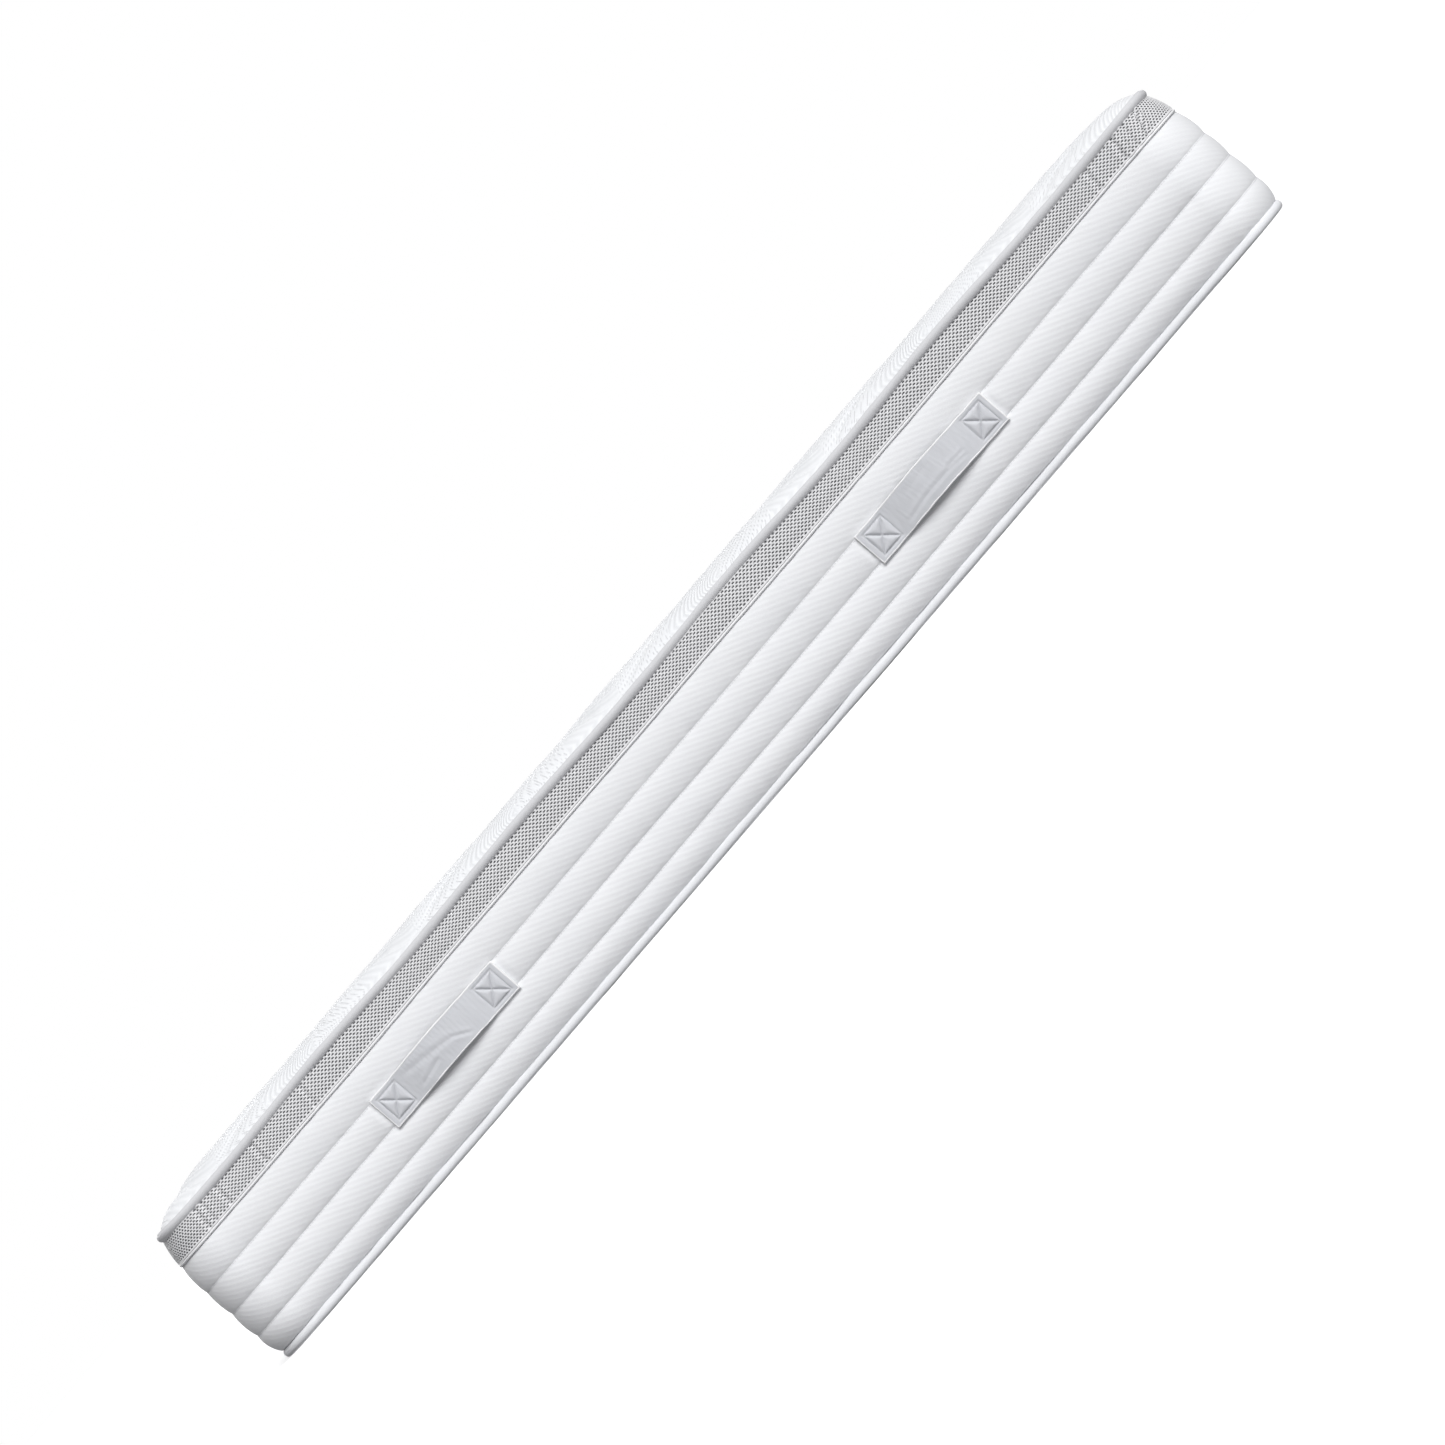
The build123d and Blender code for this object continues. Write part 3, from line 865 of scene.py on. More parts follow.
def stitches(name, starts, ends, outwards, thickness):
    """One grain of thread from each start to its end, lying on a surface that faces outwards."""
    along = ends - starts
    length = np.linalg.norm(along, axis=1, keepdims=True)
    sideways = np.cross(outwards, along / length)
    angles = 2 * math.pi * np.arange(GRAIN_SIDES) / GRAIN_SIDES
    rings = []
    for t, width, rise in GRAIN_RINGS:
        for angle in angles:
            side = sideways * math.cos(angle) * width * thickness / 2
            lift = outwards * (math.sin(angle) * width + rise) * thickness / 2
            rings.append(starts + along * t + side + lift)
    points = np.stack(rings, 1)
    count = len(starts)
    row, column = grid_faces(len(GRAIN_RINGS), GRAIN_SIDES, close_columns=True)
    one = row * GRAIN_SIDES + column % GRAIN_SIDES
    caps = np.arange(GRAIN_SIDES)
    size = len(GRAIN_RINGS) * GRAIN_SIDES
    shifts = np.arange(count)[:, None, None] * size
    quads = (one[None] + shifts).reshape(-1, 4)
    first = (caps[::-1][None] + shifts[:, 0]).tolist()
    last = (caps[None] + size - GRAIN_SIDES + shifts[:, 0]).tolist()
    faces = quads.tolist() + first + last
    flat_quads = np.stack([row * 0.8 * MM, column * 0.3 * MM], -1).reshape(-1, 2)
    flat = np.concatenate([np.tile(flat_quads, (count, 1)), np.zeros((2 * count * GRAIN_SIDES, 2))])
    return new_piece(name, points.reshape(-1, 3), faces, flat, "thread")


# %% Quilting thread in the border's three seams
STITCH_PITCH = 4.6 * MM
STITCH_LENGTH = 3.5 * MM
THREAD = 0.7 * MM
THREAD_RISE = 0.1 * MM
BELOW_SEAM = 1.1 * MM


def sewn_round(seam):
    """Starts, ends and outward directions of stitches all round. The seam gives inset and level."""
    places = stations(STITCH_PITCH)
    sewn = []
    for s in (places, places + STITCH_LENGTH):
        inset, level = seam(s)
        sewn.append(ring_grid(s, inset[:, None] - THREAD_RISE, level[:, None])[:, 0])
    x, y, out_x, out_y = rim(places)
    return *sewn, np.stack([out_x, out_y, 0 * x], 1)


runs = []
for k in (1, 2, 3):
    t = 1 - BELOW_SEAM / (SEAM_LEVELS[k] - SEAM_LEVELS[k - 1])
    open_cloth = pressed(stations(STITCH_PITCH), SEAM_LEVELS[k]) < 0.4
    line = sewn_round(lambda s: channel_face(k - 1, t, s))
    runs.append([part[open_cloth] for part in line])
border_stitching = stitches("border_stitching", *map(np.concatenate, zip(*runs)), THREAD)
place_piece(border_stitching, "root", "thread", "border_thread")

# %% [markdown]
# ## Rolled binding tapes and the welt
#
# Each tape is a soft roll round the panel's edge. The upper one is pulled down wherever the
# panel's quilting reaches the edge, so it rises and falls in long waves. The base one is pressed
# flat where it lies on the floor. The welt is a narrow folded strip between the border and the
# mesh, and it wanders with the border's upper seam.

# %% Rolls
QUILT_START = -35 * MM
EDGE_WAVES = 14
ROLL_SAG = 5 * MM
ROLL_FULLNESS = 1.13
ROLL_FLATNESS = 1.05
ROLL_POINTS = 32
GROOVE_DEPTH = 0.12
GROOVE_WIDTH = 0.2
LOWEST = 0.1 * MM


def roll_wave(s):
    """How far the upper roll stands above the CAD one. The panel's weight lets it sag."""
    turns = EDGE_WAVES * (s - QUILT_START) / ROUND
    return MM * (-1.7 * np.cos(2 * math.pi * turns) + 0.7 * sway(s, 1.5, 0.25, seed=5)) - ROLL_SAG


def roll(name, node, wave, lean, groove_angle, finish, seed):
    """A tube all round in the place of a CAD ring, with a stitched groove at an angle."""
    low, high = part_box(node)
    radius = (high.z - low.z) / 2
    middle = (high.z + low.z) / 2
    inset = HALF_WIDTH - high.y + radius
    s = stations(6 * MM)
    turn = -2 * math.pi * np.arange(ROLL_POINTS)[None, :] / ROLL_POINTS
    size = radius * ROLL_FULLNESS * (1 + 0.04 * sway(s, 0.3, 0.05, seed))[:, None]
    size = size * (1 - GROOVE_DEPTH * np.exp(-(((turn + groove_angle) / GROOVE_WIDTH) ** 2)))
    out = size * np.cos(turn) * ROLL_FLATNESS
    insets = inset - out + lean(s)[:, None]
    levels = np.maximum(middle + wave(s)[:, None] - size * np.sin(turn), LOWEST)
    return ring_piece(name, s, insets, levels, finish)


top_roll = roll(
    "top_roll",
    "top_binding",
    roll_wave,
    lambda s: 0.8 * MM * sway(s, 0.9, 0.2, 6),
    1.0,
    "binding_tape",
    seed=8,
)
place_piece(top_roll, "top_deck", "binding_tape", "top_binding")
base_roll = roll(
    "base_roll",
    "base_binding",
    lambda s: 0.25 * MM * (1 + sway(s, 0.7, 0.12, 7)),
    lambda s: 0.7 * MM * sway(s, 0.8, 0.1, 8),
    5.2,
    "base_tape",
    seed=9,
)
place_piece(base_roll, "root", "binding_tape", "base_binding")

# %% Welt and its stitching
WELT_LEVEL = 186.7 * MM
WELT_HALF_HEIGHT = 1.9 * MM
WELT_HALF_DEPTH = 3.8 * MM
WELT_INSET = 8.1 * MM
WELT_SEAM_INSET = 5.7 * MM
WELT_POINTS = 14


def welt_wave(s):
    """The welt wanders with the border's upper seam."""
    return seam_level(4, s) - SEAM_LEVELS[4]


s = stations(7 * MM)
turn = -2 * math.pi * np.arange(WELT_POINTS)[None, :] / WELT_POINTS
square = np.sign(np.cos(turn)) * np.abs(np.cos(turn)) ** 0.6
welt_roll = ring_piece(
    "welt_roll",
    s,
    WELT_INSET - WELT_HALF_DEPTH * square + 0 * s[:, None],
    WELT_LEVEL + welt_wave(s)[:, None] - WELT_HALF_HEIGHT * np.sin(turn),
    "welt_cloth",
)
place_piece(welt_roll, "root", "welt_cloth", "seam_welt")


def welt_seam(s):
    """Inset and level of the thread just under the welt."""
    level = WELT_LEVEL - WELT_HALF_HEIGHT - 0.3 * MM + welt_wave(s)
    return np.full_like(level, WELT_SEAM_INSET), level


welt_stitching = stitches("welt_stitching", *sewn_round(welt_seam), THREAD)
place_piece(welt_stitching, "root", "thread", "welt_thread")

# %% [markdown]
# ## Mesh band
#
# Spacer mesh is a net of yarn over a plain ground, with air between. The net has real holes:
# diamonds of yarn tile the band, a rounded hole is cut in the middle of each, and the rim of each
# hole sinks in, so the yarn between the holes looks round. Near the ends the band has a few
# creases. The ground is a second piece, a little further in and painted darker, as shade in the
# holes. Both are held by the border below and by the top panel above.

# %% Band shape
mesh_low, mesh_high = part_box("mesh_band")
BAND_LOW = mesh_low.z
BAND_HIGH = mesh_high.z + 2 * MM
BAND_LOW_INSET = 5.4 * MM
BAND_HIGH_INSET = 15.5 * MM
GROUND_DEPTH = 2.2 * MM
# Each crease: its place along the front, how far it leans, and its share of the full depth.
CREASES = (
    (-0.912, 0.004, 1.3),
    (-0.900, 0.003, 0.9),
    (-0.870, 0.002, 1.3),
    (-0.797, 0.001, 1.2),
    (-0.697, 0.004, 0.8),
    (0.858, 0.006, 1.5),
    (0.909, 0.008, 1.7),
    (0.933, 0.012, 1.5),
    (0.960, 0.022, 1.8),
)
CREASE_DEPTH = 2.3 * MM
CREASE_WIDTH = 3.4 * MM


def band_face(s, t):
    """Inset and level of the band, t from 0 at the welt to 1 under the upper roll."""
    low = BAND_LOW + welt_wave(s)
    high = BAND_HIGH + roll_wave(s)
    level = low + (high - low) * t
    inset = BAND_LOW_INSET + (BAND_HIGH_INSET - BAND_LOW_INSET) * t
    slack = np.sin(math.pi * t)
    inset = inset - 1.3 * MM * slack - 0.35 * MM * sway(s, 0.4, 0.06, 31) * slack
    folded = (s + ROUND / 4) % (ROUND / 2) - ROUND / 4
    for at, lean, depth in CREASES:
        away = (folded - at - lean * (t - 0.5)) / CREASE_WIDTH
        swell = np.exp(-((away - 1.6) ** 2)) + np.exp(-((away + 1.6) ** 2))
        inset = inset + CREASE_DEPTH * depth * (np.exp(-(away**2)) - 0.5 * swell)
    return inset, level


# %% Net of diamonds
HOLE_PITCH = 7.1 * MM
HOLE_ROWS = 12
HOLE_HALF_LENGTH = 0.66
HOLE_HALF_HEIGHT = 0.35
HOLE_ROUND = 0.72
HOLE_SINK = 0.7 * MM


def net_points(s, t, sink):
    """Points of the net's face, each sunk by its depth."""
    inset, level = band_face(s, t)
    x, y, out_x, out_y = rim(s)
    return np.stack([x - (inset + sink) * out_x, y - (inset + sink) * out_y, level], -1)


columns = round(ROUND / HOLE_PITCH)
step = ROUND / columns
rows = np.arange(HOLE_ROWS + 1)
corner_s = (np.arange(columns)[None, :] + 0.5 * ((rows + 1) % 2)[:, None]) * step - ROUND / 2
corner_t = np.broadcast_to(rows[:, None] / HOLE_ROWS, corner_s.shape)
hole_rows = rows[1:-1]
hole_s = (np.arange(columns)[None, :] + 0.5 * (hole_rows % 2)[:, None]) * step - ROUND / 2
hole_t = np.broadcast_to(hole_rows[:, None] / HOLE_ROWS, hole_s.shape)
net_s = [corner_s.ravel()]
net_t = [corner_t.ravel()]
hole_rim = []
for across, upward in ((-1, 0), (0, 1), (1, 0), (0, -1)):
    hole_rim.append((across, upward))
    hole_rim.append((HOLE_ROUND * (across + upward), HOLE_ROUND * (upward - across)))
for across, upward in hole_rim:
    net_s.append((hole_s + across * HOLE_HALF_LENGTH * step / 2).ravel())
    net_t.append((hole_t + upward * HOLE_HALF_HEIGHT / HOLE_ROWS).ravel())
sinks = np.concatenate([np.zeros(corner_s.size), np.full(len(hole_rim) * hole_s.size, HOLE_SINK)])
net_s = np.concatenate(net_s)
net_t = np.concatenate(net_t)


def corner_index(row, column):
    """Number of a lattice corner, going on round past the last column."""
    return row * columns + column % columns


row = np.broadcast_to(hole_rows[:, None], hole_s.shape).ravel()
column = np.broadcast_to(np.arange(columns)[None, :], hole_s.shape).ravel()
odd = row % 2
near = corner_index(row, column - 1 + odd)
far = corner_index(row, column + odd)
above = corner_index(row + 1, column)
below = corner_index(row - 1, column)
around = [near, above, far, below, near]
holes = corner_s.size + np.arange(hole_s.size)
strands = []
for k in range(4):
    inner = [holes + (2 * k + turn) % 8 * hole_s.size for turn in range(3)]
    strands.append(np.stack([around[k], *inner, around[k + 1]], 1))
strands = np.concatenate(strands)
halves = []
for edge_row, next_row, flip in ((0, 1, 1), (HOLE_ROWS, HOLE_ROWS - 1, -1)):
    ring = np.arange(columns)
    parity = edge_row % 2
    before = corner_index(edge_row, ring - 1 + parity)
    after = corner_index(edge_row, ring + parity)
    halves.append(np.stack([before, after, corner_index(next_row, ring)], 1)[:, ::flip])
faces = strands.tolist() + halves[0].tolist() + halves[1].tolist()
flat_points = np.stack([net_s, net_t * (BAND_HIGH - BAND_LOW)], 1)
flat = flat_points[np.concatenate([strands.ravel(), halves[0].ravel(), halves[1].ravel()])]
mesh_net = new_piece("mesh_net", net_points(net_s, net_t, sinks), faces, flat, "spacer_mesh")
print(hole_s.size, "holes in", columns, "columns")

# %% Ground of the band
s = stations(3.5 * MM)[:, None]
face_t = np.linspace(0, 1, 9)[None, :]
front_inset, front_level = band_face(s, face_t)
back_t = np.linspace(1, 0, 4)[None, :]
rear_inset, rear_level = band_face(s, back_t)
ground_inset = np.concatenate([front_inset + GROUND_DEPTH, rear_inset + GROUND_DEPTH + 0.8 * MM], 1)
ground_level = np.concatenate([front_level, rear_level], 1)
# Its dark finish is painted shade for the holes of the net.
mesh_ground = ring_piece("mesh_ground", s[:, 0], ground_inset, ground_level, "mesh_ground")
for piece in (mesh_net, mesh_ground):
    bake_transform(piece)
    place_piece(piece, None, "spacer_mesh", "mesh_band")

# %% [markdown]
# ## Quilted panels
#
# The top panel is sewn through its wadding along curved lines that touch each other in turn, an
# onion pattern. Between the lines the cloth puffs up. The panel's own shape is a crown that falls
# to the tape on all sides, and its edge tucks into the roll. Height is a plain function of place,
# so one grid makes the panel, and the same function, a little lower, makes the wadding under it.

# %% Quilting lines
QUILT_REPEAT = 407 * MM
QUILT_ROWS = 212 * MM


def line_distance(x, y):
    """Distance from a place to the nearest quilting line."""
    nearest = np.full(np.broadcast_shapes(x.shape, y.shape), 1.0)
    angle = 2 * math.pi * (x - QUILT_START) / QUILT_REPEAT + math.pi
    for k in range(-3, 3):
        sign = 1 if k % 2 == 0 else -1
        line = (k + 0.5) * QUILT_ROWS + sign * QUILT_ROWS / 2 * np.cos(angle)
        slope = QUILT_ROWS / 2 * 2 * math.pi / QUILT_REPEAT * np.sin(angle)
        nearest = np.minimum(nearest, np.abs(y - line) / np.sqrt(1 + slope**2))
    return nearest


EDGE_CROWDING = 0.92 * math.pi / 2


def panel_grid(inset, rows, columns):
    """Places of a grid that fills the outline. Its columns crowd towards the two long edges."""
    across = np.sin(np.linspace(-1, 1, columns) * EDGE_CROWDING)[None, :] / math.sin(EDGE_CROWDING)
    y = across * (HALF_WIDTH - inset)
    radius = CORNER - inset
    past = np.maximum(np.abs(y) - END_RUN, 0)
    reach = STRAIGHT + np.sqrt(np.maximum(radius**2 - past**2, 0))
    x = np.linspace(-1, 1, rows)[:, None] * reach
    return x, y + 0 * x


# %% Heights of the top panel
top_low, top_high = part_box("top_knit")
ROLL_LEVEL = (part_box("top_binding")[0].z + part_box("top_binding")[1].z) / 2
PANEL_INSET = 17.5 * MM
PANEL_EDGE = ROLL_LEVEL + 4.4 * MM
CROWN = top_high.z - PANEL_EDGE
CROWN_REACH = 27 * MM
TUFT_DEPTH = 7.5 * MM
PUFF_REACH = 15 * MM
GATHER_REACH = 11 * MM
LEAST_WEIGHT = 0.001


def crown_parts(x, y):
    """Rise from the nearest end and from the nearest side: 0 at the edge, 1 in the middle."""
    ends = 1 - np.exp(-(HALF_LENGTH - PANEL_INSET - np.abs(x)).clip(0) / CROWN_REACH)
    sides = 1 - np.exp(-(HALF_WIDTH - PANEL_INSET - np.abs(y)).clip(0) / CROWN_REACH)
    return ends, sides


def edge_wave(x, y):
    """The panel's edge rises and falls with the upper roll beside it, along a side or an end."""
    past_x = np.maximum(np.abs(x) - STRAIGHT, 0)
    past_y = np.maximum(np.abs(y) - END_RUN, 0)
    angle = np.arctan2(past_x, past_y)
    along_side = np.minimum(np.abs(x), STRAIGHT) + CORNER * angle
    turned = CORNER * (math.pi / 2 - angle) * (past_y > 0)
    along_end = QUARTER - np.minimum(np.abs(y), END_RUN) - turned
    ends, sides = crown_parts(x, y)
    total = 0
    for run, share in ((along_side, sides), (along_end, ends)):
        s = np.where(x < 0, -1, 1) * np.where(y < 0, run, ROUND / 2 - run)
        total = total + (1 - share + LEAST_WEIGHT) * roll_wave(s)
    return total / (2 - ends - sides + 2 * LEAST_WEIGHT)


def panel_height(x, y):
    """Level of the top panel's cloth."""
    ends, sides = crown_parts(x, y)
    share = (ends + sides - 1).clip(0)
    away = line_distance(x, y)
    puff = 1 - np.exp(-away / PUFF_REACH)
    gather = np.exp(-away / GATHER_REACH) * ripple(x, y, 26 * MM, seed=61)
    quilted = TUFT_DEPTH * (puff - 0.62) + 0.5 * MM * gather + 0.6 * MM * ripple(x, y, 140 * MM, seed=62)
    return PANEL_EDGE + CROWN * share + quilted * share**0.8 + edge_wave(x, y) * (1 - share)


# %% Top panel
def flat_places(x, y):
    """Where the rows and the columns of a panel's grid lie on its flat cloth."""
    return x[:, x.shape[1] // 2] + HALF_LENGTH, y[0] + HALF_WIDTH


x, y = panel_grid(PANEL_INSET, 440, 216)
points = np.stack([x, y, panel_height(x, y)], -1)
top_panel = cloth_grid("top_panel", points, *flat_places(x, y), "panel_cloth")


def add_quilt_map(piece):
    """Stores distance to the quilting line and place along the length for each face corner."""
    mesh = piece.data
    places = np.empty(len(mesh.vertices) * 3, np.float32)
    mesh.vertices.foreach_get("co", places)
    places = places.reshape(-1, 3)
    index = np.empty(len(mesh.loops), np.int32)
    mesh.loops.foreach_get("vertex_index", index)
    x = places[index, 0].astype(float)
    y = places[index, 1].astype(float)
    quilt = np.stack([line_distance(x, y), x - QUILT_START], 1)
    mesh.uv_layers.new(name="quilt").uv.foreach_set("vector", quilt.astype(np.float32).ravel())
    mesh.uv_layers.active = mesh.uv_layers["cloth"]


add_quilt_map(top_panel)
place_piece(top_panel, "top_deck", "panel_cloth", "top_knit")


# %% Wadding under the top panel: a closed slab between two grids
def slab_piece(name, x, y, upper, lower, finish):
    """A closed block between an upper and a lower level over the same grid of places."""
    rows, columns = x.shape
    top = np.stack([x, y, upper + 0 * x], -1).reshape(-1, 3)
    bottom = np.stack([x, y, lower + 0 * x], -1).reshape(-1, 3)
    row, column = grid_faces(rows, columns)
    upper_faces = row * columns + column
    lower_faces = upper_faces[:, ::-1] + rows * columns
    number = np.arange(rows * columns).reshape(rows, columns)
    edge = np.concatenate([number[:-1, 0], number[-1, :-1], number[:0:-1, -1], number[0, :0:-1]])
    after = np.roll(edge, -1)
    sides = np.stack([edge, edge + rows * columns, after + rows * columns, after], 1)
    faces = np.concatenate([upper_faces, lower_faces, sides])
    points = np.concatenate([top, bottom])
    return new_piece(name, points, faces.tolist(), points[faces.ravel()][:, :2], finish)


x, y = panel_grid(24 * MM, 250, 112)
cloth_level = panel_height(x, y)
upper = np.minimum(np.maximum(cloth_level - 4.5 * MM, top_low.z + 0.6 * MM), cloth_level - 1.5 * MM)
lower = np.minimum(top_low.z + 0.3 * MM, upper - 0.5 * MM)
top_filling = slab_piece("top_filling", x, y, upper, lower, "wadding")
place_piece(top_filling, "top_deck", "wadding", "top_wadding")

# %% [markdown]
# ## Base panel
#
# The underside is a plainer cloth, quilted in diamonds, and it is flat where it rests. The
# quilting lines are pulled up from the floor by the thread.

# %% Base panel and its wadding
BASE_INSET = 17 * MM
BASE_EDGE = 3 * MM
BASE_EDGE_REACH = 14 * MM
DIAMOND = 130 * MM
DIAMOND_DEPTH = 5 * MM
DIAMOND_REACH = 9 * MM
base_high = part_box("base_wadding")[1]


def diamond_distance(x, y):
    """Distance to the nearest line of two crossing sets of straight lines."""
    away = []
    for sign in (-1, 1):
        turns = (x + sign * y) / math.sqrt(2) / DIAMOND
        away.append(np.abs(turns - np.round(turns)) * DIAMOND)
    return np.minimum(*away)


def base_height(x, y):
    """Level of the base panel's cloth."""
    away = diamond_distance(x, y)
    sides = np.minimum(HALF_LENGTH - BASE_INSET - np.abs(x), HALF_WIDTH - BASE_INSET - np.abs(y))
    edge = np.exp(-sides.clip(0) / BASE_EDGE_REACH)
    resting = 0.5 * MM + DIAMOND_DEPTH * np.exp(-away / DIAMOND_REACH)
    resting = resting + 0.15 * MM * ripple(x, y, 60 * MM, seed=71)
    return resting * (1 - edge) + BASE_EDGE * edge


x, y = panel_grid(BASE_INSET, 300, 136)
points = np.stack([x, y, base_height(x, y)], -1)[:, ::-1]
base_panel = cloth_grid("base_panel", points, *flat_places(x, y), "base_cloth")
place_piece(base_panel, "root", "base_cloth", "base_knit")

x, y = panel_grid(22 * MM, 160, 74)
upper = base_high.z - 0.1 * MM
base_filling = slab_piece("base_filling", x, y, upper, base_height(x, y) + 2.5 * MM, "wadding")
place_piece(base_filling, "root", "wadding", "base_wadding")

# %% [markdown]
# ## Foam core
#
# Three blocks of foam are glued into one stack. A cut block has flat faces, and the stack's upper
# and lower edges are rounded. The memory foam is held below and pressed from above, so it is
# attached to no body.

# %% Foam blocks
FOAM_INSET = 17 * MM


def foam_block(node, top_round, base_round):
    """A block that fills the outline, with rounded upper and lower edges and flat faces."""
    low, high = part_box(node)
    insets = []
    levels = []
    for radius, level, up in ((base_round, low.z, 1), (top_round, high.z, -1)):
        turns = np.linspace(0, math.pi / 2, 7)[::up]
        insets.append(FOAM_INSET + radius * (1 - np.sin(turns)))
        levels.append(level + up * radius * (1 - np.cos(turns)))
    s = stations(24 * MM)
    inset = np.concatenate(insets)[None, :] + 0.2 * MM * sway(s, 0.8, 0.1, 81)[:, None]
    level = np.concatenate(levels)[None, :]
    return ring_piece(f"{node}_block", s, inset, level, node, closed=False, caps=True)


CUT_EDGE = 0.3 * MM
for block, top_round, base_round, body in (
    ("support_foam", CUT_EDGE, 11 * MM, "root"),
    ("transition_foam", CUT_EDGE, CUT_EDGE, "root"),
    ("memory_foam", 25 * MM, CUT_EDGE, None),
):
    foam = foam_block(block, top_round, base_round)
    if body is None:
        low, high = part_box(block)
        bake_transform(foam)
    place_piece(foam, body, block, block)

# %% [markdown]
# ## Strap handles
#
# A handle is a sleeve of smooth knit over flat webbing, bound all round with a narrow tape. Its
# two ends are stitched down with a crossed box and its middle bows out, so a hand fits behind.
# A strap is written as a surface: its back follows the bow, its front adds the thickness, the
# dents of the stitches and a few creases. The strap is made in two halves that meet in the middle.

# %% Strap shape
BOW_HALF_SPAN = 74 * MM
BOW_RISE = 9.5 * MM
BOW_FOOT = -2.5 * MM
BOW_RADIUS = (BOW_HALF_SPAN**2 + BOW_RISE**2) / (2 * BOW_RISE)
BOW_BLEND = 1.6 * MM
LIFT = 2.0 * MM
BOX_MIDDLE = 96 * MM
BOX_HALF_LENGTH = 17 * MM
BOX_HALF_HEIGHT = 19 * MM
DENT_DEPTH = 1.7 * MM
DENT_WIDTH = 1.3 * MM
CUSHION_RISE = 2.2 * MM
CUSHION_REACH = 4 * MM
CREASE_SPREAD = 1.25
# Each crease: its two ends as (along, up) and then its depth and width, all in mm.
STRAP_CREASES = {
    "left": (
        ((-62, 14), (-12, 4), 0.8, 5.0),
        ((-12, 4), (16, -2), 0.8, 4.5),
        ((16, -2), (38, -17), 1.0, 3.0),
        ((-56, -14), (-18, -8), 0.8, 3.5),
    ),
    "right": (
        ((-58, -15), (-20, -11), 0.7, 3.5),
        ((-20, -11), (20, -11), 0.7, 3.5),
        ((20, -11), (52, -14), 0.7, 3.0),
        ((24, -7), (54, -8), 0.8, 3.0),
        ((-40, 12), (10, 15), 0.3, 4.5),
    ),
}


def strap_back(u):
    """How far the strap's back stands out from the border's fullest line."""
    arc = BOW_FOOT + BOW_RISE - BOW_RADIUS + np.sqrt(np.maximum(BOW_RADIUS**2 - u**2, 0))
    gap = arc + TAB_SINK
    return (gap + np.sqrt(gap**2 + BOW_BLEND**2)) / 2 - TAB_SINK


def strap_lift(u):
    """The bowed middle hangs a little higher than the ends."""
    return LIFT * (1 - ramp(np.abs(u), 0, 105 * MM))


def segment_distance(u, h, start, end):
    """Distance to a straight piece of a line, and how far along it the nearest point is."""
    start = np.array(start) * MM
    along = np.array(end) * MM - start
    t = ((u - start[0]) * along[0] + (h - start[1]) * along[1]) / (along @ along)
    held = np.clip(t, 0, 1)
    return np.hypot(u - start[0] - held * along[0], h - start[1] - held * along[1]), t


def box_lines(u, h):
    """Distance to the box stitch: its frame and its diagonals, inside or near the frame."""
    across = np.abs(np.abs(u) - BOX_MIDDLE)
    upward = np.abs(h)
    frame_gap = np.maximum(across - BOX_HALF_LENGTH, upward - BOX_HALF_HEIGHT)
    diagonal = np.abs(across * BOX_HALF_HEIGHT - upward * BOX_HALF_LENGTH) / math.hypot(
        BOX_HALF_LENGTH, BOX_HALF_HEIGHT
    )
    return np.abs(frame_gap), np.where(frame_gap < 0, diagonal, 1.0), frame_gap < 0


def strap_front(u, h, creases, seed):
    """How far the sleeve's front stands out."""
    out = strap_back(u) + STRAP_THICKNESS
    out = out + 0.5 * MM * (1 - (h / STRAP_HALF) ** 2)
    frame_line, diagonal, inside = box_lines(u, h)
    stitched = np.minimum(frame_line, diagonal)
    out = out - DENT_DEPTH * np.exp(-((stitched / DENT_WIDTH) ** 2))
    out = out + np.where(inside, CUSHION_RISE * (1 - np.exp(-stitched / CUSHION_REACH)), 0)
    free = 1 - ramp(np.abs(u), 58 * MM, 76 * MM)
    for start, end, depth, width in STRAP_CREASES[creases]:
        gap, t = segment_distance(u, h, start, end)
        gap = gap / (CREASE_SPREAD * width * MM)
        strength = 0.8 * depth * MM * ramp(t, -0.35, 0.2) * (1 - ramp(t, 0.8, 1.35)) * free
        out = out + strength * (0.8 * np.exp(-((gap - 1.0) ** 2)) - np.exp(-(gap**2)))
    out = out + 0.22 * MM * free * ripple(u, h * 0.5, 24 * MM, seed)
    out = out + 0.10 * MM * ripple(u, h * 0.25, 5 * MM, seed + 1)
    return out


def strap_points(place, u, h, out):
    """Strap coordinates to places: u along the strap, h up it, out from the border."""
    x = place["x"] - place["side"] * u
    y = place["side"] * (HALF_WIDTH + out)
    z = place["level"] + h + strap_lift(u)
    return np.stack(np.broadcast_arrays(x, y, z), -1)


# %% Sleeve, webbing and edging of one half
SLEEVE_HALF = STRAP_HALF - EDGING + 0.6 * MM
SLEEVE_END = HANDLE_HALF - EDGING + 0.6 * MM
EDGING_POINTS = 12
EDGE_ROWS = 60
END_ROWS = 25
WEBBING_FACES = (3.4, 1.4)


def half_run(end, spacing, half):
    """Distances from the middle to the end, ordered so that u always grows."""
    u = np.linspace(0, end, round(end / spacing) + 1)
    return u if half > 0 else -u[::-1]


def strap_piece(part, corner, half, points, along, girth, finish):
    """A closed tube for one half of a strap."""
    name = f"{corner}_{part}_{'a' if half < 0 else 'b'}"
    return cloth_grid(name, points, along, girth, finish, close_columns=True, caps=True)


